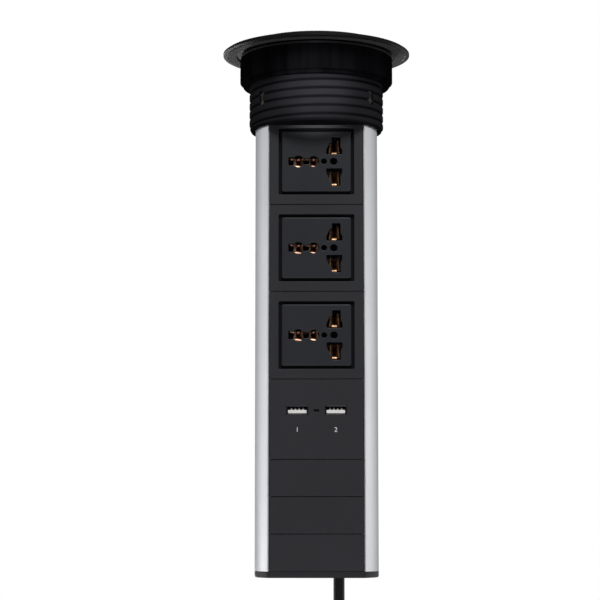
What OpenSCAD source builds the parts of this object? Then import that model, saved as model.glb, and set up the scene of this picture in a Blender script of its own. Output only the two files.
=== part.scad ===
// Pop up desk socket: a collar clamped in a desk hole, and a socket tower that slides up through it.
// Millimetres. Z is up, the seat on the desk top is at Z = 0, and the sockets face -Y.

/* [Collar] */
// Outer diameter of the flange that lies on the desk
flange_d = 120; // [112:1:140]
// Thickness of the flange
flange_t = 3; // [2.6:0.1:4]
// Width of the bevel on the flange's upper edge
flange_bevel = 2.4; // [1:0.1:3]
// Height of the bevel on the flange's upper edge
flange_bevel_h = 1.6; // [0.8:0.1:2]
// Width of the seat lip around the flange's underside
seat_w = 3; // [2:0.1:5]
// Width of the foam gasket inside the seat lip
gasket_w = 5.8; // [4:0.1:7]
// Thickness of the foam gasket
gasket_t = 1.5; // [1.2:0.1:1.8]
// How far the foam gasket stands below the seat
gasket_proud = 0.3; // [0:0.1:0.6]
// Length of the threaded sleeve below the seat
collar_len = 49.5; // [46:0.5:60]
// Outside diameter over the thread
thread_d = 86; // [85.6:0.1:88]
// Distance from one thread ridge to the next
thread_pitch = 5.5; // [5:0.1:7]
// Depth of the thread
thread_depth = 1; // [0.6:0.1:1.2]
// Width of a thread ridge's flat top
thread_crest = 1.7; // [1:0.1:2]
// Gap between the sleeve's bore and the tower
slide_gap = 1; // [0.6:0.1:1.2]

/* [Brake] */
// Depth of the brake windows below the seat
brake_drop = 32; // [28:0.5:36]
// Width of a brake pad
pad_w = 4; // [3:0.1:7]
// Height of a brake pad
pad_h = 8.8; // [6:0.1:10]
// Thickness of the leaf spring behind a pad
brake_spring_t = 0.4; // [0.3:0.05:0.5]
// How far the leaf spring laps the sleeve around the pad
brake_spring_lap = 1.2; // [1:0.1:2]

/* [Ring nut] */
// Outside diameter of the ring nut
nut_d = 98; // [94:0.5:104]
// Height of the ring nut
nut_h = 18.5; // [14:0.5:22]
// Height of the narrow lip at the foot of the ring nut
nut_lip_h = 2.4; // [1.5:0.1:4]
// Step from the ring nut's outside to its lip
nut_lip_step = 2; // [1:0.1:3]
// Thickness of the slip washer above the ring nut
washer_t = 1.5; // [1:0.1:2]
// How far the washer's edge lies inside the ring nut's
washer_inset = 0.5; // [0.2:0.1:1]

/* [Tower] */
// Outside diameter of the aluminium profile
tower_d = 78; // [77.6:0.1:79]
// Width of the aluminium edge on each side of the front panels
edge_w = 0.64; // [0.5:0.02:1.2]
// Wall of the aluminium profile
wall = 2; // [1.6:0.1:2.4]
// Width of the front panels
panel_w = 59; // [58:0.1:59.4]
// Thickness of the front panels
panel_t = 2.5; // [2.2:0.1:3]
// Inner edge of each panel rail, from the middle
rail_x = 27.5; // [27.2:0.1:28]
// Thickness of the panel rails
rail_t = 2.5; // [2:0.1:3]
// Gap that shows as the seam between two panels
seam = 0.4; // [0.2:0.05:0.6]
// Height of the plain panel at the top
filler_h = 48; // [44:0.5:56]
// Height of a socket panel
socket_h = 55; // [53:0.5:60]
// Height of the charger panel
usb_h = 50; // [46:0.5:60]
// Height of a blank panel
blank_h = 23; // [20:0.5:30]
// Height of the stop screws above the profile's foot
stop_up = 11.2; // [9:0.1:40]
// Radius of the heads that stop the tower at the top
stop_head_r = 3; // [2.5:0.1:3.5]
// How far these heads stand out from the profile
stop_head_h = 2; // [1.5:0.1:2.5]

/* [Lid] */
// Diameter of the lid
lid_d = 92; // [86:0.5:100]
// Thickness of the lid
lid_t = 3.5; // [3.2:0.1:4.5]
// Finger bevel under the lid's edge
lid_grip = 1.6; // [1:0.1:2]
// Diameter of the disc let into the lid
disc_d = 78; // [75:0.5:82]
// Thickness of the disc let into the lid
disc_t = 1.1; // [0.8:0.1:1.3]

/* [Sockets] */
// Width of the window in a socket panel
window_w = 47.5; // [46:0.5:48.5]
// Height of the window in a socket panel
window_h = 42.5; // [40:0.5:44]
// Shadow gap between the window and the socket face
groove = 2; // [1.2:0.1:2.4]
// Thickness of the flange behind the socket face
insert_flange_t = 2; // [1.6:0.1:2.4]
// Depth of the socket's box behind that flange
insert_box_d = 15; // [12:0.5:17]
// Wall of the socket's box
insert_wall = 1.5; // [1.2:0.1:2]
// Middle of the live and neutral holes, from the socket's middle
pole_x = 11.2; // [10.5:0.1:12]
// Height of the live and neutral contacts above and below the middle
pole_z = 10; // [9:0.1:10.5]
// Middle of the earth contact, from the socket's middle
earth_x = -7.9; // [-9:0.1:-7]
// Sheet thickness of the contact bars
bar_t = 0.8; // [0.6:0.1:1]
// Width of the contact bars
bar_w = 3; // [2.4:0.1:3.4]

/* [Charger] */
// Distance of each charging port from the middle
port_x = 12; // [11:0.1:14]
// Depth of the ports below the charger panel's upper edge
port_drop = 19.6; // [17:0.1:23]
// Width of a port's steel shell
shell_w = 13.2; // [12.8:0.1:14]
// Height of a port's steel shell
shell_h = 5.8; // [5.6:0.1:6.4]
// Sheet thickness of a port's shell
shell_t = 0.4; // [0.3:0.05:0.5]
// Depth of a port's shell
shell_d = 14.5; // [13:0.1:16]
// Width of a port's tongue
tongue_w = 11.6; // [11:0.1:12]
// Thickness of a port's tongue
tongue_t = 2.1; // [1.8:0.1:2.3]
// Thickness of the circuit board
board_t = 1.6; // [1.2:0.1:2]

/* [End cap] */
// Thickness of the end cap
cap_t = 4; // [3.5:0.1:6]
// Distance of the cord from the middle
cord_x = 14; // [12:0.5:16]
// Diameter of the mains cord
cord_d = 7; // [6.6:0.1:7.4]

/* [Plug] */
// Radius of the plug's body
plug_r = 18; // [16:0.5:20]
// Length of the plug's body
plug_l = 34; // [30:1:40]
// Length of the plug's strain relief
plug_relief_l = 28; // [22:1:40]
// Radius of a plug pin
pin_r = 2.4; // [2:0.1:2.4]
// Distance between the plug pins
pin_gap = 19; // [18:0.1:20]
// Length of a plug pin
pin_l = 19; // [16:0.5:20]

/* [Hidden] */
$fn = 64;

// Small clearances that every fit takes its gap from
snug = 0.1;
fit = 0.2;
loose = 0.3;
cut = 1;

// How far two blocks of one piece run into each other
bite = 0.3;

// Collar
flange_r = flange_d / 2;
thread_r = thread_d / 2;
root_r = thread_r - thread_depth;
tower_r = tower_d / 2;
front_half = panel_w / 2 + fit + edge_w;
front_y = sqrt(tower_r * tower_r - front_half * front_half);
bore_r = tower_r + slide_gap;
bore_front = front_y + slide_gap / 2;
seat_r = flange_r - seat_w;
gasket_top = gasket_t - gasket_proud;
gasket_in_r = seat_r - 2 * snug - gasket_w;
land_z = 0.4;
ridge_slope = 1.1;
ridge_flank = thread_depth * ridge_slope;
ridge_w = thread_crest + 2 * ridge_flank;
ridge_start = 1.5;
ridges = floor((collar_len - ridge_start - ridge_w) / thread_pitch) + 1;

// Brake, just behind the tower's front corner, with its leaf spring lying in a pocket in the sleeve
pad_out = root_r - 2 * brake_spring_t;
pad_in = tower_r + loose;
brake_angle = asin(front_half / tower_r) + asin((pad_w / 2 + loose) / tower_r);
spring_w = pad_w + 2 * brake_spring_lap;
spring_h = pad_h + 2 * brake_spring_lap;

// Ring nut and washer
nut_r = nut_d / 2;
thread_gap = 0.4;
nut_bore_r = thread_r + thread_gap;
washer_top = -thread_gap;
washer_out_r = nut_r - washer_inset;
nut_top = washer_top - washer_t - snug;
nut_bottom = nut_top - nut_h;
nut_edge = 0.6;

// Tower, from the lid's underside down
sockets = 3;
blanks = 3;
tower_top = flange_t;
socket_stack_top = tower_top - filler_h;
usb_top = socket_stack_top - sockets * socket_h;
blank_stack_top = usb_top - usb_h;
tower_bottom = blank_stack_top - blanks * blank_h;
tower_len = tower_top - tower_bottom;
cap_bottom = tower_bottom - cap_t;
panel_back = -front_y + panel_t;
rail_back = panel_back + rail_t;
function socket_top(i) = socket_stack_top - (i - 1) * socket_h;
function socket_z(i) = socket_top(i) - socket_h / 2;
function blank_top(i) = blank_stack_top - (i - 1) * blank_h;

// Screw ports along the inside of the profile
screw_port_r = 3.2;
tap_r = 1.3;
screw_r = 1.25;
head_r = 2.6;
head_h = 1.4;
screw_l = 14;
screw_port_sunk = 0.8;
port_ring = tower_r - wall - screw_port_r + screw_port_sunk;
port_angles = [-72, 72, -145, 145];
function around(a, r) = [r * sin(a), -r * cos(a)];

// Stop screws at the back of the profile
stop_angles = [155, -155];
stop_shank_r = 1.9;
stop_shank_in = 2;
stop_z = tower_bottom + stop_up;
travel = -collar_len - loose - stop_z - stop_head_r;
echo("travel of the tower, mm", travel);

// Lid
lid_r = lid_d / 2;
lid_top = tower_top + lid_t;
lid_edge = 1.2;
disc_r = disc_d / 2;
disc_floor = lid_top - disc_t - snug;

// Panels are held by snap legs that hook behind the rails
leg_t = 1.4;
leg_w = 8;
hook = 1;
hook_t = 1.2;

// Socket insert
face_w = window_w - 2 * groove;
face_h = window_h - 2 * groove;
insert_lap = 1.4;
insert_back = panel_back + insert_flange_t;
box_margin = 1.2;
box_w = face_w + 2 * box_margin;
box_h = face_h + 2 * box_margin;
box_back = insert_back + insert_box_d;
post_x = -3;
post_r = 2.8;
post_sunk = 0.4;
post_z = box_h / 2 - insert_wall - post_r + post_sunk;
post_floor = 2;

// Contact bars lie behind the socket boxes, in front of the carrier
bar_front = box_back;
bar_back = bar_front + bar_t;
live_offset = 7.8;
neutral_offset = 7.2;
live_x = pole_x + live_offset;
neutral_x = pole_x - neutral_offset;
bar_end = 2;
bar_top = socket_z(1) + box_h / 2 + bar_end;
bar_bottom = socket_z(sockets) - box_h / 2 - bar_end;
contact_front = insert_back + loose;
pole_contact_r = 4.6;
pole_slit = 1.3;
contact_t = 0.6;
earth_contact_w = 17.3;
earth_leaf_z = 3;
earth_wave = 0.7;
earth_wave_l = 9.6;
earth_steps = 24;
carrier_w = 45;
carrier_t = 2;
carrier_back = bar_back + carrier_t;
carrier_margin = 1;
carrier_screw_l = 9;

// Outlines of the pin holes, about the middle of their contacts
earth_slot = [9.7, 6.3, 5.2];
earth_lobes = [[-3.4, 3.7], [6.2, 3.4]];
earth_neck_h = 3.8;
pole_outline = [
    [-4.9, -5.5], [5, -5.5], [5, -2.6], [3.9, -0.6], [3.9, 5.6], [-1.4, 5.6], [-1.4, 2.4], [-2.9, 1.6],
    [-4.9, -2.6]
];
round_holes = [[-0.3, 2.3], [-6.4, 1.8]];

// Charger
port_z = usb_top - port_drop;
board_front = -front_y + shell_d;
board_back = board_front + board_t;
board_w = 46;
board_h = 38;
board_z = usb_top - usb_h / 2;
boss_r = 2.6;
boss_inset = 3.5;
boss_x = board_w / 2 - boss_inset;
boss_z = board_h / 2 - boss_inset;
board_screw_l = 7;
board_head_r = 2.2;
tongue_drop = 0.75;
tongue_z = port_z - tongue_drop;
tongue_setback = 0.6;
contact_pitch = 2.4;
contact_w = 1.2;
contact_h = 0.3;
contact_setback = 1.2;
contacts_a_port = 4;
led_w = 3.2;
led_h = 1.6;
led_setback = 0.2;
transformer = [11.5, 12, 16];
transformer_x = earth_x - 2;
capacitor_r = 4.2;
capacitor_h = 12;
capacitor_z = [-8, 6];

// End cap, gland and clamp
gland_r = 5.2;
gland_flange_r = 8;
gland_flange_t = 2.5;
gland_taper_l = 21.5;
gland_taper_r = 6.2;
gland_tip_r = 4.6;
cord_r = cord_d / 2;
clamp_w = 20;
clamp_h = 8;
clamp_gap = 1;
clamp_bar_t = 5.5;
clamp_up = 35;
clamp_top = tower_bottom + clamp_up;
clamp_block_y = gland_flange_r + loose;
clamp_block_t = 4.6;
clamp_screw_x = 7.5;
cord_bare = 4;
cord_end = clamp_top + cord_bare;

// Wires from the cord's end to the contact bars
wire_d = 2.4;
wire_ring = 1.6;
bar_y = (bar_front + bar_back) / 2;
wire_up = 4;
wire_turn = 24;

// Mains cord: straight down out of the gland, into a tied coil in four layers, then the plug
coil_left = 15;
coil_drop = 83;
coil_x = cord_x - coil_left;
coil_z = cap_bottom - coil_drop;
coil_out_r = 42.2;
coil_gap = 0.6;
coil_step = cord_d + coil_gap;
coil_turns = 6.125;
coil_layers = 4;
coil_first = 45;
rings_a_turn = 24;
layer_sweep = 360 * coil_turns / coil_layers;
coil_in_r = coil_out_r - coil_step * layer_sweep / 360;
coil_rings = round(coil_turns * rings_a_turn);
tail_l = 16;

function clamp01(t) = max(0, min(1, t));
function ease(t) = (1 - cos(180 * clamp01(t))) / 2;
function layer_at(phi) = min(coil_layers - 1, floor(phi / layer_sweep));
function into_layer(phi) = (phi - layer_at(phi) * layer_sweep) / 360;
function coil_r(phi) = layer_at(phi) % 2 == 0
    ? coil_out_r - coil_step * into_layer(phi)
    : coil_in_r + coil_step * into_layer(phi);
function coil_y(phi, n = 1) = n >= coil_layers ? 0
    : coil_step * ease((phi - n * layer_sweep + 90) / 180) + coil_y(phi, n + 1);
function coil_point(phi) = let (a = coil_first - phi, r = coil_r(phi))
    [coil_x + r * cos(a), coil_y(phi), coil_z + r * sin(a)];
coil_in_dir = [sin(coil_first), 0, -cos(coil_first)];
coil_out_dir = [0, 0, -1];
coil_turn_points = [for (i = [0:coil_rings]) coil_point(i * 360 / rings_a_turn)];
coil_start = coil_turn_points[0] - cord_d * coil_in_dir;
coil_end = coil_turn_points[coil_rings] + cord_d * coil_out_dir;
coil_points = concat([coil_start], coil_turn_points, [coil_end]);
tail_end = coil_end + tail_l * coil_out_dir;

// Least gap of the coil to itself, between points at least half a turn apart
coil_gaps = [
    for (i = [0:coil_rings])
        for (j = [i + rings_a_turn / 2:coil_rings])
            norm(coil_turn_points[i] - coil_turn_points[j]) - cord_d
];
echo("least gap of the coil to itself, mm", min(coil_gaps));

// The lead's bend, from straight down to the coil's first direction
lead_points = [
    [cord_x, 0, cap_bottom],
    [cord_x, 0, cap_bottom - 12],
    [cord_x, 0, cap_bottom - 24],
    [cord_x + 1.2, 0, cap_bottom - 33],
    [cord_x + 4.6, 0, cap_bottom - 41],
    coil_start
];

// Plug, hanging from the tail
plug_x = tail_end[0];
plug_y = tail_end[1];
plug_top = tail_end[2];
plug_shoulder = plug_top - plug_relief_l;
plug_face = plug_shoulder - plug_l;
plug_neck_r = 6.5;
plug_tip_wall = 0.8;
plug_tip_r = cord_r + plug_tip_wall;
plug_flare = [[0.72, 0.24], [1, 0.5]];
plug_edge = 1.5;
clip_w = 6;
clip_t = 1;
clip_l = 20;
clip_depth = 3;

// Tie around the coil's bundle, at its left side
tie_passes = [for (n = [0:coil_turns - 1]) coil_r(coil_first + 180 + n * 360)];
tie_w = 10;
tie_t = 1.2;
tie_sag = coil_in_r - sqrt(coil_in_r * coil_in_r - tie_w * tie_w / 4);
tie_in_x = coil_x - min(tie_passes) + cord_r + tie_sag + loose;
tie_out_x = coil_x - max(tie_passes) - cord_r - loose;
tie_front_y = -cord_r - loose;
tie_back_y = coil_step * (coil_layers - 1) + cord_r + loose;

// A round tube through points, whose ends are square to the given directions
function unit(v) = v / norm(v);
function along(p, i, from, to) = i == 0 ? from
    : i == len(p) - 1 ? to
    : unit(unit(p[i + 1] - p[i]) + unit(p[i] - p[i - 1]));
function ring(p, t, r, n) = let (s = unit(cross(t, [0, 1, 0])), u = cross(s, t))
    [for (k = [0:n - 1]) p + r * (cos(360 * k / n) * s + sin(360 * k / n) * u)];
module tube(p, d, n, from, to) {
    last = len(p) - 1;
    points = [for (i = [0:last]) each ring(p[i], along(p, i, from, to), d / 2, n)];
    sides = [
        for (i = [0:last - 1])
            for (k = [0:n - 1])
                let (a = i * n + k, b = i * n + (k + 1) % n)
                    each [[a, a + n, b], [b, a + n, b + n]]
    ];
    ends = [
        for (k = [1:n - 2])
            each [[0, k, k + 1], [last * n, last * n + k + 1, last * n + k]]
    ];
    polyhedron(points, concat(sides, ends));
}

module ring_solid(out_r, in_r, z0, z1) {
    translate([0, 0, z0])
        difference() {
            cylinder(r = out_r, h = z1 - z0);
            translate([0, 0, -cut])
                cylinder(r = in_r, h = z1 - z0 + 2 * cut);
        }
}

// A block between two heights, set across the middle
module block(x0, x1, y0, y1, z0, z1) {
    translate([x0, y0, z0])
        cube([x1 - x0, y1 - y0, z1 - z0]);
}

// The D shape that the tower has in plan
module d_shape(r, front) {
    intersection() {
        circle(r = r);
        translate([-r - cut, -front])
            square([2 * r + 2 * cut, r + front + cut]);
    }
}

// A round rod from one Y to another
module rod_y(x, z, r, y0, y1) {
    translate([x, y0, z])
        rotate([-90, 0, 0])
            cylinder(r = r, h = y1 - y0);
}

// Collar pieces
module collar() {
    ridge_points = [
        for (i = [0:ridges - 1])
            let (z = -ridge_start - i * thread_pitch)
                each [
                    [root_r, z],
                    [thread_r, z - ridge_flank],
                    [thread_r, z - ridge_flank - thread_crest],
                    [root_r, z - ridge_w]
                ]
    ];
    outline = concat(
        [
            [0, flange_t],
            [flange_r - flange_bevel, flange_t],
            [flange_r, flange_t - flange_bevel_h],
            [flange_r, 0],
            [seat_r, 0],
            [seat_r, gasket_top],
            [gasket_in_r, gasket_top],
            [gasket_in_r, land_z],
            [root_r, land_z]
        ],
        ridge_points,
        [[root_r, -collar_len], [0, -collar_len]]
    );
    color("#101012")
        difference() {
            rotate_extrude()
                polygon(outline);
            translate([0, 0, -collar_len - cut])
                linear_extrude(collar_len + flange_t + 2 * cut)
                    d_shape(bore_r, bore_front);
            for (side = [-1, 1])
                rotate([0, 0, side * brake_angle]) {
                    block(-pad_w / 2 - snug, pad_w / 2 + snug, -thread_r - cut, -pad_in + cut,
                        -brake_drop - pad_h / 2 - snug, -brake_drop + pad_h / 2 + snug);
                    block(-spring_w / 2 - snug, spring_w / 2 + snug, -thread_r - cut, -pad_out,
                        -brake_drop - spring_h / 2 - snug, -brake_drop + spring_h / 2 + snug);
                }
        }
}

module desk_gasket() {
    color("#3a3a3c")
        ring_solid(seat_r - snug, gasket_in_r + snug, -gasket_proud, gasket_top);
}

module brake_pad(side) {
    color("#6b6b6d")
        rotate([0, 0, side * brake_angle])
            block(-pad_w / 2, pad_w / 2, -pad_out, -pad_in, -brake_drop - pad_h / 2,
                -brake_drop + pad_h / 2);
}

module brake_spring(side) {
    color("#b9babd")
        rotate([0, 0, side * brake_angle])
            block(-spring_w / 2, spring_w / 2, -pad_out - brake_spring_t, -pad_out,
                -brake_drop - spring_h / 2, -brake_drop + spring_h / 2);
}

// Ring nut pieces
module clamp_washer() {
    color("#2a2a2c")
        ring_solid(washer_out_r, nut_bore_r, washer_top - washer_t, washer_top);
}

module ring_nut() {
    lip_r = nut_r - nut_lip_step;
    lip_z = nut_bottom + nut_lip_h;
    color("#0d0d0f")
        rotate_extrude()
            polygon([
                [nut_bore_r, nut_top],
                [nut_r - nut_edge, nut_top],
                [nut_r, nut_top - nut_edge],
                [nut_r, lip_z + nut_edge],
                [nut_r - nut_edge, lip_z],
                [lip_r, lip_z],
                [lip_r, nut_bottom + nut_edge],
                [lip_r - nut_edge, nut_bottom],
                [nut_bore_r, nut_bottom]
            ]);
}

// Tower shell
module port_places() {
    for (a = port_angles)
        translate(around(a, port_ring))
            children();
}

module profile_section() {
    difference() {
        union() {
            difference() {
                d_shape(tower_r, front_y);
                circle(r = tower_r - wall);
            }
            intersection() {
                d_shape(tower_r, front_y);
                for (side = [-1, 1])
                    translate([side > 0 ? rail_x : -tower_r, panel_back])
                        square([tower_r - rail_x, rail_t]);
            }
            port_places()
                circle(r = screw_port_r);
        }
        translate([-panel_w / 2 - fit, -tower_r])
            square([panel_w + 2 * fit, tower_r + panel_back]);
        port_places()
            circle(r = tap_r);
    }
}

module tower_profile() {
    color("#c4c5c9")
        difference() {
            translate([0, 0, tower_bottom])
                linear_extrude(tower_len)
                    profile_section();
            for (a = stop_angles)
                rotate([0, 0, a])
                    rod_y(0, stop_z, stop_shank_r + snug, -tower_r - cut, -tower_r + wall + cut);
        }
}

module stop_screws() {
    color("#9a9b9f")
        for (a = stop_angles)
            rotate([0, 0, a]) {
                rod_y(0, stop_z, stop_head_r, -tower_r - stop_head_h, -tower_r);
                rod_y(0, stop_z, stop_shank_r, -tower_r - bite, -tower_r + wall + stop_shank_in);
            }
}

module lid() {
    color("#141416")
        difference() {
            rotate_extrude()
                polygon([
                    [0, tower_top],
                    [lid_r - lid_grip, tower_top],
                    [lid_r, tower_top + lid_grip],
                    [lid_r, lid_top - lid_edge],
                    [lid_r - lid_edge, lid_top],
                    [0, lid_top]
                ]);
            translate([0, 0, disc_floor])
                cylinder(r = disc_r + snug, h = lid_t);
            port_places() {
                translate([0, 0, tower_top - cut])
                    cylinder(r = screw_r + fit, h = lid_t);
                translate([0, 0, disc_floor - head_h - snug])
                    cylinder(r = head_r + fit, h = lid_t);
            }
        }
}

module lid_disc() {
    color("#1d1d20")
        translate([0, 0, disc_floor])
            cylinder(r = disc_r, h = disc_t);
}

module lid_screws() {
    color("#9a9b9f")
        port_places() {
            translate([0, 0, disc_floor - head_h - snug])
                cylinder(r = head_r, h = head_h);
            translate([0, 0, tower_top - screw_l])
                cylinder(r = screw_r, h = disc_floor - head_h - snug - tower_top + screw_l + bite);
        }
}

// Front panels
module snap_legs(z) {
    leg_in = rail_x - fit - leg_t;
    for (side = [0, 1])
        mirror([side, 0, 0]) {
            block(leg_in, rail_x - fit, panel_back - bite, rail_back + snug + hook_t, z - leg_w / 2,
                z + leg_w / 2);
            block(leg_in, rail_x - fit + hook, rail_back + snug, rail_back + snug + hook_t,
                z - leg_w / 2, z + leg_w / 2);
        }
}

module panel(top, h) {
    block(-panel_w / 2, panel_w / 2, -front_y, panel_back, top - h + seam / 2, top - seam / 2);
    snap_legs(top - h / 2);
}

module filler_panel() {
    color("#2c2c30")
        panel(tower_top, filler_h);
}

module blank_panel(i) {
    color("#2c2c30")
        panel(blank_top(i), blank_h);
}

module socket_frame(i) {
    color("#2c2c30")
        difference() {
            panel(socket_top(i), socket_h);
            block(-window_w / 2, window_w / 2, -front_y - cut, panel_back + cut,
                socket_z(i) - window_h / 2, socket_z(i) + window_h / 2);
        }
}

// Socket insert with the holes of a universal outlet turned on its side
module earth_hole() {
    translate([-earth_slot[0], -earth_slot[2] / 2])
        square([earth_slot[1], earth_slot[2]]);
    for (lobe = earth_lobes)
        translate([lobe[0], 0])
            circle(r = lobe[1]);
    translate([earth_lobes[0][0], -earth_neck_h / 2])
        square([earth_lobes[1][0] - earth_lobes[0][0], earth_neck_h]);
}

module pin_holes() {
    translate([earth_x, 0])
        earth_hole();
    for (side = [0, 1])
        mirror([0, side])
            translate([pole_x, pole_z])
                polygon(pole_outline);
    for (hole = round_holes)
        translate([pole_x + hole[0], 0])
            circle(r = hole[1]);
}

module socket_insert(i) {
    flange_half_w = window_w / 2 + insert_lap;
    flange_half_h = window_h / 2 + insert_lap;
    color("#26272a")
        translate([0, 0, socket_z(i)])
            difference() {
                union() {
                    block(-face_w / 2, face_w / 2, -front_y, panel_back + bite, -face_h / 2, face_h / 2);
                    block(-flange_half_w, flange_half_w, panel_back, insert_back, -flange_half_h,
                        flange_half_h);
                    difference() {
                        block(-box_w / 2, box_w / 2, insert_back - bite, box_back, -box_h / 2, box_h / 2);
                        block(-box_w / 2 + insert_wall, box_w / 2 - insert_wall, insert_back,
                            box_back + cut, -box_h / 2 + insert_wall, box_h / 2 - insert_wall);
                    }
                    for (side = [-1, 1])
                        rod_y(post_x, side * post_z, post_r, insert_back - bite, bar_back);
                }
                translate([0, insert_back + cut, 0])
                    rotate([90, 0, 0])
                        linear_extrude(front_y + insert_back + 2 * cut)
                            pin_holes();
                for (side = [-1, 1])
                    rod_y(post_x, side * post_z, tap_r, insert_back + post_floor, bar_back + cut);
            }
}

// Contact bars
module bar(x) {
    block(x - bar_w / 2, x + bar_w / 2, bar_front, bar_back, bar_bottom, bar_top);
}

// A rolled spring sleeve, open on the side away from the bar
module pole_contact(z, open_side) {
    translate([pole_x, contact_front, z])
        rotate([-90, 0, 0])
            difference() {
                cylinder(r = pole_contact_r, h = bar_front - contact_front + bite);
                translate([0, 0, -cut])
                    cylinder(r = pole_contact_r - contact_t, h = bar_front - contact_front + 2 * cut);
                block(-pole_slit, pole_slit, open_side > 0 ? -2 * pole_contact_r : 0,
                    open_side > 0 ? 0 : 2 * pole_contact_r, -cut, bar_front - contact_front + cut);
            }
}

module pole_tab(z, from_x) {
    block(min(from_x, pole_x - pole_contact_r), max(from_x, pole_x + pole_contact_r), bar_front, bar_back,
        z - pole_contact_r, z + pole_contact_r);
}

module live_bar() {
    color("#b98a5e") {
        bar(live_x);
        for (i = [1:sockets]) {
            pole_tab(socket_z(i) + pole_z, live_x);
            pole_contact(socket_z(i) + pole_z, 1);
        }
    }
}

module neutral_bar() {
    color("#b98a5e") {
        bar(neutral_x);
        for (i = [1:sockets]) {
            pole_tab(socket_z(i) - pole_z, neutral_x);
            pole_contact(socket_z(i) - pole_z, -1);
        }
    }
}

// A wavy leaf that presses on the earth pin from one side
module earth_leaf(side) {
    wave = [
        for (k = [0:earth_steps])
            let (x = -earth_contact_w / 2 + earth_contact_w * k / earth_steps)
                [earth_x + x, side * (earth_leaf_z + earth_wave * cos(360 * x / earth_wave_l))]
    ];
    far_edge = [for (k = [earth_steps:-1:0]) wave[k] + [0, side * contact_t]];
    translate([0, bar_front + bite, 0])
        rotate([90, 0, 0])
            linear_extrude(bar_front - contact_front + bite)
                polygon(concat(wave, far_edge));
}

module earth_bar() {
    tab_half_h = earth_leaf_z + earth_wave + contact_t;
    color("#b98a5e") {
        bar(earth_x);
        for (i = [1:sockets])
            translate([0, 0, socket_z(i)]) {
                block(earth_x - earth_contact_w / 2, earth_x + earth_contact_w / 2, bar_front, bar_back,
                    -tab_half_h, tab_half_h);
                for (side = [-1, 1])
                    earth_leaf(side);
            }
    }
}

module carrier_screw_places() {
    for (i = [1:sockets])
        for (side = [-1, 1])
            translate([post_x, 0, socket_z(i) + side * post_z])
                children();
}

module contact_carrier() {
    color("#d8d4c8")
        difference() {
            block(-carrier_w / 2, carrier_w / 2, bar_back, carrier_back, bar_bottom + carrier_margin,
                bar_top - carrier_margin);
            carrier_screw_places()
                rod_y(0, 0, screw_r + fit, bar_back - cut, carrier_back + cut);
        }
}

module carrier_screws() {
    color("#9a9b9f")
        carrier_screw_places() {
            rod_y(0, 0, head_r, carrier_back, carrier_back + head_h);
            rod_y(0, 0, screw_r, bar_back - carrier_screw_l, carrier_back + bite);
        }
}

// Charger module
module port_box(side, w, h, y0, y1, z) {
    block(side * port_x - w / 2, side * port_x + w / 2, y0, y1, z - h / 2, z + h / 2);
}

module board_places() {
    for (x = [-boss_x, boss_x])
        for (z = [-boss_z, boss_z])
            translate([x, 0, board_z + z])
                children();
}

module usb_panel() {
    color("#2c2c30")
        difference() {
            union() {
                panel(usb_top, usb_h);
                board_places()
                    rod_y(0, 0, boss_r, panel_back - bite, board_front);
            }
            for (side = [-1, 1])
                port_box(side, shell_w + 2 * fit, shell_h + 2 * fit, -front_y - cut, panel_back + cut,
                    port_z);
            block(-led_w / 2 - snug, led_w / 2 + snug, -front_y - cut, panel_back + cut,
                port_z - led_h / 2 - snug, port_z + led_h / 2 + snug);
            board_places()
                rod_y(0, 0, tap_r, panel_back + post_floor, board_front + cut);
        }
}

module usb_shell(side) {
    color("#c9cacd")
        difference() {
            port_box(side, shell_w, shell_h, -front_y, board_front, port_z);
            port_box(side, shell_w - 2 * shell_t, shell_h - 2 * shell_t, -front_y - cut, board_front + cut,
                port_z);
        }
}

module usb_tongue(side) {
    color("#eeeeea")
        port_box(side, tongue_w, tongue_t, -front_y + tongue_setback, board_front, tongue_z);
}

module usb_contacts() {
    color("#c8b27a")
        for (side = [-1, 1])
            for (k = [0:contacts_a_port - 1])
                translate([(k - (contacts_a_port - 1) / 2) * contact_pitch, 0, 0])
                    port_box(side, contact_w, contact_h, -front_y + contact_setback, board_front,
                        tongue_z + tongue_t / 2 + contact_h / 2);
}

module usb_board() {
    color("#2f5d3a")
        difference() {
            block(-board_w / 2, board_w / 2, board_front, board_back, board_z - board_h / 2,
                board_z + board_h / 2);
            board_places()
                rod_y(0, 0, screw_r + fit, board_front - cut, board_back + cut);
        }
}

module board_screws() {
    color("#9a9b9f")
        board_places() {
            rod_y(0, 0, board_head_r, board_back, board_back + head_h);
            rod_y(0, 0, screw_r, board_front - board_screw_l, board_back + bite);
        }
}

module charger_transformer() {
    color("#d6b24a")
        block(transformer_x - transformer[0], transformer_x, board_back, board_back + transformer[1],
            board_z - transformer[2] / 2, board_z + transformer[2] / 2);
}

module charger_capacitors() {
    color("#2a3550")
        for (z = capacitor_z)
            rod_y((neutral_x + live_x) / 2, board_z + z, capacitor_r, board_back, board_back + capacitor_h);
}

module led_window() {
    color("#0a0a0c")
        block(-led_w / 2, led_w / 2, -front_y + led_setback, board_front, port_z - led_h / 2,
            port_z + led_h / 2);
}

// End cap, with the block that the cord clamp screws onto
module clamp_screw_places(z) {
    for (x = [-clamp_screw_x, clamp_screw_x])
        translate([cord_x + x, 0, z])
            children();
}

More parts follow.
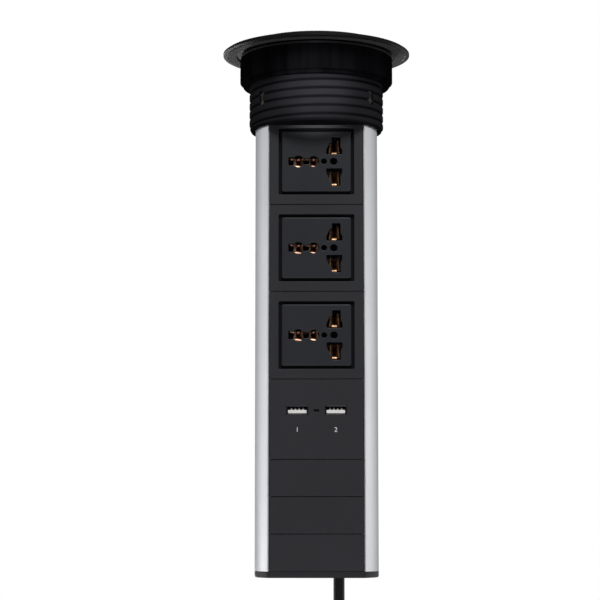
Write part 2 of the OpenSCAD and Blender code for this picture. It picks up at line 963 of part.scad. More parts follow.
module end_cap() {
    block_back = clamp_block_y + clamp_block_t;
    color("#17171a")
        difference() {
            union() {
                translate([0, 0, cap_bottom])
                    linear_extrude(cap_t)
                        d_shape(tower_r, front_y);
                block(cord_x - clamp_w / 2, cord_x + clamp_w / 2, clamp_block_y, block_back,
                    tower_bottom - bite, clamp_top);
                block(cord_x - clamp_w / 2, cord_x + clamp_w / 2, clamp_gap, block_back, clamp_top - clamp_h,
                    clamp_top);
            }
            translate([cord_x, 0, cap_bottom - cut]) {
                cylinder(r = gland_r + snug / 2, h = cap_t + 2 * cut);
                cylinder(r = cord_r + snug / 2, h = clamp_top - cap_bottom + 2 * cut);
            }
            clamp_screw_places(clamp_top - clamp_h / 2)
                rod_y(0, 0, tap_r, clamp_gap - cut, block_back - 1);
            port_places() {
                translate([0, 0, cap_bottom - cut])
                    cylinder(r = screw_r + fit, h = cap_t + 2 * cut);
                translate([0, 0, cap_bottom - cut])
                    cylinder(r = head_r + fit, h = head_h + snug + cut);
            }
        }
}

module end_screws() {
    color("#9a9b9f")
        port_places()
            translate([0, 0, cap_bottom + snug]) {
                cylinder(r = head_r, h = head_h);
                cylinder(r = screw_r, h = screw_l);
            }
}

module cable_gland() {
    flange_top = tower_bottom + gland_flange_t;
    color("#0c0c0e")
        translate([cord_x, 0, 0])
            rotate_extrude()
                polygon([
                    [cord_r + snug / 2, cap_bottom],
                    [gland_r, cap_bottom],
                    [gland_r, tower_bottom],
                    [gland_flange_r, tower_bottom],
                    [gland_flange_r, flange_top],
                    [gland_taper_r, flange_top],
                    [gland_tip_r, flange_top + gland_taper_l],
                    [cord_r + snug / 2, flange_top + gland_taper_l]
                ]);
}

module cord_clamp() {
    color("#3a3a3d")
        difference() {
            block(cord_x - clamp_w / 2, cord_x + clamp_w / 2, -clamp_gap - clamp_bar_t, -clamp_gap,
                clamp_top - clamp_h, clamp_top);
            translate([cord_x, 0, clamp_top - clamp_h - cut])
                cylinder(r = cord_r + snug / 2, h = clamp_h + 2 * cut);
            clamp_screw_places(clamp_top - clamp_h / 2)
                rod_y(0, 0, screw_r + fit, -clamp_gap - clamp_bar_t - cut, -clamp_gap + cut);
        }
}

module clamp_screws() {
    front = -clamp_gap - clamp_bar_t;
    color("#9a9b9f")
        clamp_screw_places(clamp_top - clamp_h / 2) {
            rod_y(0, 0, head_r, front - head_h, front);
            rod_y(0, 0, screw_r, front - bite, front + screw_l);
        }
}

module cord_inner() {
    color("#161415")
        translate([cord_x, 0, cap_bottom])
            cylinder(r = cord_r, h = cord_end - cap_bottom);
}

// Insulated wires from the cord's end up to the foot of each bar
module wire(angle, x) {
    foot = [cord_x + wire_ring * cos(angle), wire_ring * sin(angle), cord_end];
    up = [0, 0, 1];
    tube([
        foot,
        foot + wire_up * up,
        [foot[0] * 0.8 + x * 0.2, foot[1] * 0.8 + bar_y * 0.2, cord_end + wire_turn * 0.4],
        [foot[0] * 0.2 + x * 0.8, foot[1] * 0.2 + bar_y * 0.8, cord_end + wire_turn * 0.8],
        [x, bar_y, cord_end + wire_turn + wire_up],
        [x, bar_y, bar_bottom]
    ], wire_d, 8, up, up);
}

module live_wire() {
    color("#7a4a2c")
        wire(0, live_x);
}

module neutral_wire() {
    color("#2d55a5")
        wire(120, neutral_x);
}

module earth_wire() {
    color("#3f8a3f")
        wire(240, earth_x);
}

// Mains cord
module cord_lead() {
    color("#161415")
        tube(lead_points, cord_d, 10, [0, 0, -1], coil_in_dir);
}

module cord_coil() {
    color("#161415")
        tube(coil_points, cord_d, 6, coil_in_dir, coil_out_dir);
}

module cord_tail() {
    color("#161415")
        tube([coil_end, tail_end], cord_d, 10, coil_out_dir, coil_out_dir);
}

module coil_tie() {
    color("#1a1a1c")
        difference() {
            block(tie_out_x - tie_t, tie_in_x + tie_t, tie_front_y - tie_t, tie_back_y + tie_t,
                coil_z - tie_w / 2, coil_z + tie_w / 2);
            block(tie_out_x, tie_in_x, tie_front_y, tie_back_y, coil_z - tie_w, coil_z + tie_w);
        }
}

// Plug
module plug_clip_places() {
    for (side = [0, 180])
        translate([plug_x, plug_y, 0])
            rotate([0, 0, side])
                children();
}

module plug_body() {
    color("#131315")
        difference() {
            translate([plug_x, plug_y, 0])
                rotate_extrude()
                    polygon([
                        [0, plug_top],
                        [plug_tip_r, plug_top],
                        [plug_neck_r, plug_shoulder],
                        [plug_r * plug_flare[0][0], plug_shoulder - plug_l * plug_flare[0][1]],
                        [plug_r * plug_flare[1][0], plug_shoulder - plug_l * plug_flare[1][1]],
                        [plug_r, plug_face + plug_edge],
                        [plug_r - plug_edge, plug_face],
                        [0, plug_face]
                    ]);
            plug_clip_places()
                block(-clip_w / 2 - snug, clip_w / 2 + snug, -plug_r - cut, -plug_r + clip_depth,
                    plug_face - cut, plug_face + clip_l + snug);
        }
}

module plug_pins() {
    color("#c9cacd")
        for (side = [-1, 1])
            translate([plug_x + side * pin_gap / 2, plug_y, plug_face - pin_l])
                cylinder(r = pin_r, h = pin_l);
}

module plug_earth_clips() {
    color("#c9cacd")
        plug_clip_places()
            block(-clip_w / 2, clip_w / 2, -plug_r + clip_depth - clip_t, -plug_r + clip_depth,
                plug_face + snug, plug_face + clip_l);
}

collar();
desk_gasket();
brake_pad(-1);  // brake_pad_left
brake_pad(1);  // brake_pad_right
brake_spring(-1);  // brake_spring_left
brake_spring(1);  // brake_spring_right
clamp_washer();
ring_nut();
tower_profile();
lid();
lid_disc();
lid_screws();
filler_panel();
socket_frame(1);  // socket_frame_1
socket_frame(2);  // socket_frame_2
socket_frame(3);  // socket_frame_3
socket_insert(1);  // socket_insert_1
socket_insert(2);  // socket_insert_2
socket_insert(3);  // socket_insert_3
live_bar();
neutral_bar();
earth_bar();
contact_carrier();
carrier_screws();
usb_panel();
usb_shell(-1);  // usb_shell_left
usb_shell(1);  // usb_shell_right
usb_tongue(-1);  // usb_tongue_left
usb_tongue(1);  // usb_tongue_right
usb_contacts();
usb_board();
board_screws();
charger_transformer();
charger_capacitors();
led_window();
blank_panel(1);  // blank_panel_1
blank_panel(2);  // blank_panel_2
blank_panel(3);  // blank_panel_3
end_cap();
end_screws();
stop_screws();
cable_gland();
cord_clamp();
clamp_screws();
cord_inner();
live_wire();
neutral_wire();
earth_wire();
cord_lead();
cord_coil();
cord_tail();
coil_tie();
plug_body();
plug_pins();
plug_earth_clips();
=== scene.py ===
"""Pop up desk socket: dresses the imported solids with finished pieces, materials, light and a camera."""

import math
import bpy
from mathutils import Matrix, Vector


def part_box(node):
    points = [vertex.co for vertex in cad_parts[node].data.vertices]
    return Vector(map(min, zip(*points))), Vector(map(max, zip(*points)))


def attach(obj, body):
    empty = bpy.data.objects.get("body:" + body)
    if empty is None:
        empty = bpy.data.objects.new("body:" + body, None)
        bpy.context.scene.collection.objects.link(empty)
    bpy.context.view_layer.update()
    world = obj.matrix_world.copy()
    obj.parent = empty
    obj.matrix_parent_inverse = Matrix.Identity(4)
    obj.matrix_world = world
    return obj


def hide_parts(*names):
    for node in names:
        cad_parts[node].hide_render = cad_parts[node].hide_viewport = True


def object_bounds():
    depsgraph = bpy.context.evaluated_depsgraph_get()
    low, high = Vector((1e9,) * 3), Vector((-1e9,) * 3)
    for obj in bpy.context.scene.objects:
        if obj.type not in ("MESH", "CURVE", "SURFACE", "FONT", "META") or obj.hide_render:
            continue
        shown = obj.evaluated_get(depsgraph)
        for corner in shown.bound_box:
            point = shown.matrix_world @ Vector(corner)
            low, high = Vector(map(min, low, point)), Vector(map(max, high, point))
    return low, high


bl_info = {
    "name": "Pop up desk socket",
    "version": (1, 0, 0),
    "blender": (4, 5, 0),
    "location": "3D View > Sidebar > Desk Socket",
    "description": "Builds the finished pieces of a pop up desk socket around its packed solids",
    "category": "Object",
}

from collections import namedtuple

import bmesh
import bpy
from bpy.props import FloatProperty, FloatVectorProperty, IntProperty, PointerProperty
from mathutils import Matrix, Vector

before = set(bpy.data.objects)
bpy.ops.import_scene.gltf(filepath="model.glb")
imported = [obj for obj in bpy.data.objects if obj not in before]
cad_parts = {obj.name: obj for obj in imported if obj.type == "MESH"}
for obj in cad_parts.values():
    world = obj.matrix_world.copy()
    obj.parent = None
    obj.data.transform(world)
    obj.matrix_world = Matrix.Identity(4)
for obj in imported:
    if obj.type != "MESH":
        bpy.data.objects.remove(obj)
CAD_BOX = [list(corner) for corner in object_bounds()]
MM = 0.001


def linear(code):
    """An sRGB hex colour as linear red, green, blue and alpha."""
    parts = [int(code[i : i + 2], 16) / 255 for i in (1, 3, 5)]
    return [p / 12.92 if p <= 0.04045 else ((p + 0.055) / 1.055) ** 2.4 for p in parts] + [1.0]


def length(name, description, default):
    """A length in metres for the sidebar, from its default in millimetres."""
    return FloatProperty(
        name=name, description=description, default=default * MM, min=0.0, unit="LENGTH", precision=5
    )


def colour(name, description, code):
    """A colour for the sidebar, from its sRGB hex code."""
    return FloatVectorProperty(
        name=name, description=description, default=linear(code), size=4, subtype="COLOR", min=0.0, max=1.0
    )


class DeskSocketSizes(bpy.types.PropertyGroup):
    """Sizes that shape the finished pieces"""

    flange_radius: length("Flange radius", "Outside of the flange that lies on the desk", 60)
    flange_bevel: length("Flange bevel", "Width of the bevel on the flange's upper edge", 2.4)
    seat_width: length("Seat width", "Width of the lip that rests on the desk", 3)
    gasket_width: length("Gasket width", "Width of the foam ring under the flange", 5.8)
    thread_radius: length("Thread radius", "Outside of the sleeve's thread", 43)
    thread_depth: length("Thread depth", "Depth of the sleeve's thread", 1)
    thread_pitch: length("Thread pitch", "Distance from one thread ridge to the next", 5.5)
    slide_gap: length("Slide gap", "Gap between the sleeve and the tower", 1)
    nut_radius: length("Ring nut radius", "Outside of the ring nut", 49)
    nut_bore: length("Ring nut bore", "Inside radius of the ring nut and its washer", 43.4)
    nut_lip_height: length("Ring nut lip height", "Height of the narrow lip at the ring nut's foot", 2.4)
    nut_lip_step: length("Ring nut lip step", "Step in from the ring nut's side to its lip", 2)
    tower_radius: length("Tower radius", "Outside of the round back of the tower", 39)
    wall: length("Tower wall", "Wall of the aluminium profile", 2)
    panel_thick: length("Panel thickness", "Thickness of the front panels", 2.5)
    rail_x: length("Rail edge", "Inner edge of each panel rail, from the middle", 27.5)
    rail_thick: length("Rail thickness", "Thickness of the panel rails", 2.5)
    edge_round: length("Edge rounding", "Rounding along the moulded edges", 0.2)
    window_width: length("Window width", "Width of the window in a socket panel", 47.5)
    window_height: length("Window height", "Height of the window in a socket panel", 42.5)
    groove: length("Shadow gap", "Gap between a window and its socket face", 2)
    cord_diameter: length("Cord diameter", "Diameter of the mains cord", 7)
    round_steps: IntProperty(
        name="Round steps", description="Steps around a full circle", default=192, min=24
    )


class DeskSocketColours(bpy.types.PropertyGroup):
    """Colours of the finishes"""

    panel: colour("Panels", "Moulded panels on the front", "#27272b")
    insert: colour("Socket faces", "Moulded faces of the outlets", "#242529")
    collar: colour("Collar", "Moulded collar and lid", "#1f1f22")
    nut: colour("Ring nut", "Polished moulded ring nut", "#09090b")
    aluminium: colour("Aluminium", "Anodised profile", "#e6e7ea")
    copper: colour("Earth contacts", "Bare copper", "#b38a76")
    brass: colour("Pole contacts", "Bare brass", "#957458")
    steel: colour("Steel", "Bright zinc plating", "#b9bbc0")
    cord: colour("Cord", "Sheath of the mains cord", "#171616")
    tongue: colour("Tongue", "White tongue in a port", "#d2d0cd")


def size(name):
    """A size from the sidebar, in millimetres."""
    return getattr(bpy.context.scene.desk_socket_sizes, name) / MM


def tint(name):
    """A colour from the sidebar, linear."""
    return list(getattr(bpy.context.scene.desk_socket_colours, name))


Box = namedtuple("Box", "low high middle span")


def node_box(name):
    """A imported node's lowest and highest corner, its middle and its span, in millimetres."""
    low, high = (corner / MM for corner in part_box(name))
    return Box(low, high, (low + high) / 2, high - low)


# Materials

# The grain of moulded plastic and plated metal is about 0.1 mm, which is too fine to show in the render.
# It is drawn as coarse as it needs to show, at 0.3 mm or more.

# Most of a noise pattern lies between these two values
NOISE_LOW, NOISE_HIGH = 0.3, 0.7


def add(tree, kind, links=None, **settings):
    """Adds a node with its settings. An input gets a value, a socket or another node's first output."""
    made = tree.nodes.new(kind)
    for key, value in settings.items():
        setattr(made, key, value)
    for key, value in (links or {}).items():
        if isinstance(value, bpy.types.Node):
            value = value.outputs[0]
        if isinstance(value, bpy.types.NodeSocket):
            tree.links.new(value, made.inputs[key])
        else:
            made.inputs[key].default_value = value
    return made


def surface(name, base, rough, spread, drift, broad, fine, deep, stretch=(1, 1, 1), streaked=False, **shader):
    """A material whose tone and gloss drift, over a fine grain that catches the light.

    The tone varies by drift over patches that are broad mm across, and rough by spread over the grain,
    which is fine mm across and deep mm high.
    """
    made = bpy.data.materials.get(name)
    if made:
        return made
    made = bpy.data.materials.new(name)
    made.use_nodes = True
    tree = made.node_tree
    out = tree.nodes["Principled BSDF"].inputs
    place = add(tree, "ShaderNodeTexCoord").outputs["Object"]
    drawn = add(tree, "ShaderNodeMapping", {"Vector": place, "Scale": stretch}).outputs[0]
    cloud = {"Vector": drawn if streaked else place, "Scale": 1 / (broad * MM), "Detail": 4.0}
    tone = add(tree, "ShaderNodeValToRGB", {"Fac": add(tree, "ShaderNodeTexNoise", cloud)})
    ends = ((NOISE_LOW, 1 - drift), (NOISE_HIGH, 1 + drift))
    for stop, (spot, level) in zip(tone.color_ramp.elements, ends):
        stop.position, stop.color = spot, [min(1.0, level * part) for part in base[:3]] + [1.0]
    grain = add(tree, "ShaderNodeTexNoise", {"Vector": drawn, "Scale": 1 / (fine * MM), "Detail": 3.0})
    span = {"From Min": NOISE_LOW, "From Max": NOISE_HIGH, "To Min": rough - spread, "To Max": rough + spread}
    gloss = add(tree, "ShaderNodeMapRange", {"Value": grain, **span})
    bump = add(tree, "ShaderNodeBump", {"Height": grain, "Strength": 1.0, "Distance": deep * MM})
    for source, socket in ((tone, "Base Color"), (gloss, "Roughness"), (bump, "Normal")):
        tree.links.new(source.outputs[0], out[socket])
    for key, value in shader.items():
        out[key.replace("_", " ")].default_value = value
    return made


def faded(made, way, start, end, code):
    """Paints shade: fades a material's tone to another colour between two distances along a way, in mm."""
    tree = made.node_tree
    if "fade" in tree.nodes:
        return made
    base = tree.nodes["Principled BSDF"].inputs["Base Color"]
    place = add(tree, "ShaderNodeTexCoord").outputs["Object"]
    along = add(tree, "ShaderNodeVectorMath", {0: place, 1: way}, operation="MULTIPLY")
    far = add(tree, "ShaderNodeVectorMath", {0: along}, operation="LENGTH").outputs["Value"]
    span = {"From Min": abs(start) * MM, "From Max": abs(end) * MM}
    share = add(tree, "ShaderNodeMapRange", {"Value": far, **span})
    blend = {0: share, 6: base.links[0].from_socket, 7: linear(code)}
    fade = add(tree, "ShaderNodeMix", blend, name="fade", data_type="RGBA")
    tree.links.new(fade.outputs[2], base)
    return made


def plain(name, code, rough=0.5, spread=0.06, drift=0.08, broad=8, fine=0.5, deep=0.008, **shader):
    """A material for a small piece, from one hex colour."""
    return surface(name, linear(code), rough, spread, drift, broad, fine, deep, **shader)


def panel_abs():
    # Spark-textured ABS: an even satin that turns light into a soft, broad sheen
    return surface(
        "satin_abs", tint("panel"), Specular_IOR_Level=0.25,
        rough=0.42, spread=0.05, drift=0.05, broad=30, fine=0.5, deep=0.008,
    )


def socket_polycarbonate():
    # Moulded polycarbonate: a little glossier and darker than the panels around it
    moulded = tint("insert")
    return surface(
        "socket_polycarbonate", moulded, Specular_IOR_Level=0.3,
        rough=0.34, spread=0.05, drift=0.05, broad=24, fine=0.45, deep=0.006,
    )


def recess_black():
    # Painted shade: the moulding's recessed faces are coloured near black and matt, so the gaps read as black
    return surface(
        "recess_black", linear("#060608"), Specular_IOR_Level=0.2,
        rough=0.8, spread=0.05, drift=0.08, broad=10, fine=0.5, deep=0.01,
    )


def lid_abs():
    # Glass-filled ABS: near black, satin, with faint flow marks
    return surface(
        "lid_abs", tint("collar"), Specular_IOR_Level=0.15,
        rough=0.46, spread=0.06, drift=0.10, broad=18, fine=0.6, deep=0.008,
    )


def collar_abs():
    # The same ABS, with painted shade in the thread's grooves and the bore: its tone fades darker towards the
    # groove floors
    made = surface(
        "collar_abs", tint("collar"), Specular_IOR_Level=0.0,
        rough=0.46, spread=0.06, drift=0.10, broad=18, fine=0.6, deep=0.008,
    )
    crest, deep = size("thread_radius"), size("thread_depth")
    return faded(made, (1, 1, 0), crest - 0.25 * deep, crest - 0.95 * deep, "#0f0f11")


def flange_abs():
    # The flange's smoother skin, in a darker copy of the collar's ABS: painted shade that keeps the flange
    # near black
    black = linear("#101012")
    return surface(
        "flange_abs", black, Specular_IOR_Level=0.08,
        rough=0.46, spread=0.03, drift=0.08, broad=22, fine=0.6, deep=0.0002,
    )


def nut_abs():
    # ABS from a polished mould: deep black, with no specular gloss and faint vertical streaks of painted
    # reflection
    # draw stretches the tone upright into the streaks of painted reflection
    black, draw = tint("nut"), (1.0, 1.0, 0.03)
    return surface(
        "polished_abs", black, stretch=draw, streaked=True, Specular_IOR_Level=0.0,
        rough=0.3, spread=0.05, drift=0.5, broad=7, fine=2.5, deep=0.008,
    )


def cap_abs():
    # Moulded ABS: smoother than the panels, with less of a sheen
    return plain("cap_abs", "#262629", rough=0.38, drift=0.06, broad=20, Specular_IOR_Level=0.15)


def anodised_aluminium():
    # Extruded, then satin anodised: faint die lines run along the profile
    metal, lines = tint("aluminium"), (1.0, 1.0, 0.006)
    return surface(
        "anodised_aluminium", metal, stretch=lines, Metallic=1.0,
        rough=0.36, spread=0.06, drift=0.03, broad=40, fine=0.35, deep=0.006,
    )


def contact_metal(name):
    # Stamped copper or brass: bright at the front, with painted shade that turns it brown further into the
    # holes
    made = surface(
        "stamped_" + name, tint(name), Metallic=1.0,
        rough=0.36, spread=0.10, drift=0.5, broad=1.8, fine=0.6, deep=0.02,
    )
    # Painted shade: the metal starts to darken 2 mm behind the back of the socket face, and is fully brown at
    # 12 mm
    bright, brown = insert_back() + 2.0, insert_back() + 12.0
    return faded(made, (0, 1, 0), bright, brown, "#56291c")


def dark_steel():
    # Steel in a dark grey that also stands in for painted shade, so the ports stay dark and barely catch the
    # light
    return surface(
        "dark_steel", linear("#4a4a4e"), Metallic=1.0,
        rough=0.38, spread=0.08, drift=0.10, broad=3, fine=0.3, deep=0.004,
    )


def plated_steel():
    # Zinc-plated steel: pale grey, with a soft crystalline mottle
    return surface(
        "plated_steel", tint("steel"), Metallic=1.0,
        rough=0.32, spread=0.08, drift=0.08, broad=3, fine=0.3, deep=0.004,
    )


def blued_spring():
    # Tempered spring steel: a dark oxide colour that also stands in for painted shade in the brake windows,
    # so only a glint shows
    return plain("blued_spring", "#3c3a34", rough=0.4, drift=0.1, broad=3, fine=0.3, deep=0.004, Metallic=1.0)


def tinned_strip():
    # Tin-plated strip, rubbed dull: pale, with little of a mirror left
    return plain("tinned_strip", "#e2e0da", rough=0.45, broad=2, fine=0.4, deep=0.003, Metallic=0.4)


def cord_pvc():
    # Extruded PVC sheath: smooth black with a sharp highlight along it
    return surface(
        "cord_pvc", tint("cord"), Specular_IOR_Level=0.25,
        rough=0.3, spread=0.03, drift=0.06, broad=20, fine=0.8, deep=0.002,
    )


def tongue_nylon():
    # Glass-filled nylon: opaque white, slightly rough
    return surface(
        "white_nylon", tint("tongue"),
        rough=0.5, spread=0.05, drift=0.03, broad=6, fine=0.3, deep=0.004,
    )


def tie_nylon():
    # Napped nylon strap: matt and coarse
    return plain("tie_nylon", "#1b1b1e", rough=0.62, drift=0.2, broad=2, fine=0.35, deep=0.04)


def foam():
    # Closed-cell foam: dull black, pitted
    return plain("closed_cell_foam", "#141416", rough=0.9, drift=0.12, broad=3, fine=0.6, deep=0.08)


def smoked_acrylic():
    # Smoked acrylic: smooth and almost black while the lamp behind it is off
    return plain(
        "smoked_acrylic", "#08080b", Specular_IOR_Level=0.1,
        rough=0.3, drift=0.05, broad=6, fine=1, deep=0.001,
    )


# Outlines, in millimetres

# The most of a side that an arc may take, and the most of the arc's reach that its guard may take
SIDE_SHARE, GUARD_SHARE = 0.49, 0.3


def fillet(corners, steps=5, guard=0.0):
    """Rounds the corners (u, v, radius) of a closed outline. A guard adds a point on each side of an arc."""
    points = []
    for i, (u, v, radius) in enumerate(corners):
        here = Vector((u, v))
        if radius <= 0:
            points.append(here)
            continue
        back = Vector(corners[i - 1][:2]) - here
        ahead = Vector(corners[(i + 1) % len(corners)][:2]) - here
        back_way, ahead_way = back.normalized(), ahead.normalized()
        half = back_way.angle(ahead_way) / 2
        reach = min(radius / math.tan(half), SIDE_SHARE * back.length, SIDE_SHARE * ahead.length)
        middle = here + (back_way + ahead_way).normalized() * reach / math.cos(half)
        first, last = here + back_way * reach - middle, here + ahead_way * reach - middle
        turn = first.angle_signed(last)
        bend = [middle + Matrix.Rotation(-turn * k / steps, 2) @ first for k in range(steps + 1)]
        if guard:
            spare = min(guard, GUARD_SHARE * reach)
            bend = [bend[0] + back_way * spare, *bend, bend[-1] + ahead_way * spare]
        points += bend
    return points


def rectangle(width, height, radius, u=0.0, v=0.0, steps=5):
    """A rounded rectangle about a middle."""
    corners = ((-1, -1), (1, -1), (1, 1), (-1, 1))
    return fillet([(u + i * width / 2, v + j * height / 2, radius) for i, j in corners], steps)


def polar(radius, angle, u=0.0, v=0.0):
    """A point at an angle in radians about a middle."""
    return Vector((u + radius * math.cos(angle), v + radius * math.sin(angle)))


def circle(radius, u=0.0, v=0.0, count=48):
    return [polar(radius, math.tau * k / count, u, v) for k in range(count)]


def around(angle, radius):
    """A point at an angle in degrees from the front, seen from above."""
    return Vector((radius * math.sin(math.radians(angle)), -radius * math.cos(math.radians(angle))))


def arc(radius, start, end, steps):
    return [around(start + (end - start) * k / steps, radius) for k in range(steps + 1)]


def mirrored(points):
    """Points on the other side of the tower, in the order that carries an outline on."""
    return [Vector((-p.x, p.y)) for p in reversed(points)]


def about(middle, half):
    """The two ends of a stretch, from its middle."""
    return middle - half, middle + half


def ease(share):
    """A share from 0 to 1 that starts and ends gently."""
    return share * share * (3 - 2 * share)


def signed_area(loop):
    return sum(a.x * b.y - b.x * a.y for a, b in zip(loop, loop[1:] + loop[:1])) / 2


def moved_in(loop, amount):
    """A loop moved to its left side, which is where the material is."""
    moved = []
    for i, point in enumerate(loop):
        one = (point - loop[i - 1]).normalized()
        two = (loop[(i + 1) % len(loop)] - point).normalized()
        left_one, left_two = Vector((-one.y, one.x)), Vector((-two.y, two.x))
        share = max(0.25, 1 + left_one.dot(left_two))
        moved.append(point + (left_one + left_two) * amount / share)
    return moved


# Solids, added to a bmesh in metres

# A flat face has a ring of points this far in from its rounded rim, so that the rim's shading stays off it
GUARD = 0.12


def along_x(u, v, w):
    return Vector((w, u, v)) * MM


def along_y(u, v, w):
    return Vector((u, w, v)) * MM


def along_z(u, v, w):
    return Vector((u, v, w)) * MM


def rounded_rim(level, way, radius, steps):
    """The (height, inset) rings from an end face to the side: way is 1 at a foot and -1 at a head."""
    if not radius:
        return [(level, 0.0)]
    bends = [math.pi / 2 * k / steps for k in range(steps + 1)]
    rings = [(level + way * radius * (1 - math.cos(a)), radius * (1 - math.sin(a))) for a in bends]
    return [(level, radius + GUARD)] + rings


def edge_rings(low, high, low_round=0.0, high_round=0.0, steps=3):
    """The heights and insets of a prism's rings, with rounded rims."""
    return rounded_rim(low, 1, low_round, steps) + rounded_rim(high, -1, high_round, steps)[::-1]


def skin(form, rings):
    """Joins each ring of vertices to the next with a band of faces. A ring of one vertex is a pole."""
    made = []
    for one, two in zip(rings, rings[1:]):
        for k in range(max(len(one), len(two))):
            corners = ((one, k), (one, k + 1), (two, k + 1), (two, k))
            corners = list(dict.fromkeys(ring[i % len(ring)] for ring, i in corners))
            if len(corners) > 2:
                made.append(form.faces.new(corners))
    return made


def end_face(form, rings):
    """Fills the flat face inside the first ring of vertices, around the others."""
    edges = [form.edges.get((a, b)) for ring in rings for a, b in zip(ring, ring[1:] + ring[:1])]
    filled = bmesh.ops.triangle_fill(form, use_beauty=True, use_dissolve=False, edges=edges)
    return [part for part in filled["geom"] if isinstance(part, bmesh.types.BMFace)]


def prism(form, loops, rings, place, outer_rings=None):
    """A solid from an outer loop and its holes. A ring is a height and an inset into the material."""
    made, stacks = [], []
    for number, loop in enumerate(loops):
        loop = [Vector(p) for p in loop]
        if (signed_area(loop) > 0) != (number == 0):
            loop.reverse()
        layers = []
        for height, inset in rings if number else outer_rings or rings:
            outline = moved_in(loop, inset) if inset else loop
            layers.append([form.verts.new(place(p.x, p.y, height)) for p in outline])
        made += skin(form, layers)
        stacks.append(layers)
    for end in (0, -1):
        made += end_face(form, [layers[end] for layers in stacks])
    bmesh.ops.recalc_face_normals(form, faces=made)
    return made


def straight(form, loops, low, high, place):
    """A prism with sharp rims."""
    return prism(form, loops, edge_rings(low, high), place)


def block(form, wide, deep, tall, radius=0.15, rim=0.15):
    """A box with rounded edges, from its two ends along X, Y and Z, drawn along Y."""
    loop = rectangle(wide[1] - wide[0], tall[1] - tall[0], radius, sum(wide) / 2, sum(tall) / 2, 3)
    return prism(form, [loop], edge_rings(*deep, rim, rim, 2), along_y)


def lathe(form, outline, x=0.0, y=0.0, count=None):
    """A turned solid about a line along Z, from (radius, height) points. Points at radius 0 become poles."""
    count = count or bpy.context.scene.desk_socket_sizes.round_steps
    rows = []
    for radius, height in outline:
        ring = circle(radius, x, y, count if radius > 1e-6 else 1)
        rows.append([form.verts.new(along_z(p.x, p.y, height)) for p in ring])
    bmesh.ops.recalc_face_normals(form, faces=skin(form, rows + rows[:1]))


def loft(form, rows):
    """A closed solid through rows of points in millimetres, each row a closed outline of as many points."""
    layers = [[form.verts.new(Vector(p) * MM) for p in row] for row in rows]
    ends = [form.faces.new(layers[0]), form.faces.new(layers[-1])]
    bmesh.ops.recalc_face_normals(form, faces=ends + skin(form, layers))


def tube(form, points, radius, sides=16):
    """A closed round tube through points that run mostly upwards, in millimetres."""
    rows = []
    for i, point in enumerate(points):
        ahead = (points[min(i + 1, len(points) - 1)] - points[max(i - 1, 0)]).normalized()
        across = ahead.cross(Vector((0, 1, 0))).normalized()
        up = across.cross(ahead)
        rows.append([point + radius * (p.x * across + p.y * up) for p in circle(1.0, count=sides)])
    loft(form, rows)


# Finished pieces


def new_object(name, data):
    made = bpy.data.objects.new(name, data)
    bpy.context.scene.collection.objects.link(made)
    return made


def mesh_of(name, form):
    """Turns a bmesh into a mesh."""
    mesh = bpy.data.meshes.new(name)
    form.to_mesh(mesh)
    form.free()
    return mesh


def settled(work, name):
    """Turns a working object, with what its modifiers do, into a plain mesh, and removes the object."""
    bpy.context.view_layer.update()
    mesh = bpy.data.meshes.new_from_object(work.evaluated_get(bpy.context.evaluated_depsgraph_get()))
    mesh.name = name
    bpy.data.objects.remove(work)
    return mesh


def cut_away(form, cutter_form):
    """Takes one closed bmesh out of another, and returns the rest as a new bmesh."""
    body, cutter = (new_object("cut_work", mesh_of("cut_work", part)) for part in (form, cutter_form))
    cut = body.modifiers.new("cut", "BOOLEAN")
    cut.operation, cut.solver, cut.object = "DIFFERENCE", "EXACT", cutter
    mesh = settled(body, "cut_work")
    bpy.data.objects.remove(cutter)
    rest = bmesh.new()
    rest.from_mesh(mesh)
    bpy.data.meshes.remove(mesh)
    return rest


def seated(made, nodes=(), body="tower"):
    """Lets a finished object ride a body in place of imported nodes."""
    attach(made, body)
    if nodes:
        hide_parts(*nodes)
    return made


def smoothed(name, mesh, slot, nodes, body="tower", smooth=40):
    """Makes a piece of a mesh, smooth where its faces meet at less than an angle in degrees."""
    mesh.polygons.foreach_set("use_smooth", [True] * len(mesh.polygons))
    mesh.set_sharp_from_angle(angle=math.radians(smooth))
    return seated(new_object(name, mesh), nodes, body)


def piece(name, form, slot, nodes, *finishes, **ways):
    """Makes a piece of a bmesh, with one or more materials."""
    mesh = mesh_of(name, form)
    for finish in finishes:
        mesh.materials.append(finish)
    return smoothed(name, mesh, slot, nodes, **ways)


def turned(name, outline, slot, nodes, finish, spots=((0, 0),), count=None, **ways):
    """Makes a piece that is turned from an outline of (radius, height) about each spot."""
    form = bmesh.new()
    for x, y in spots:
        lathe(form, outline, x, y, count)
    return piece(name, form, slot, nodes, finish, **ways)


def finish_node(name, material):
    """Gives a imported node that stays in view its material."""
    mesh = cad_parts[name].data
    mesh.materials.clear()
    mesh.materials.append(material)


# Repeated pieces


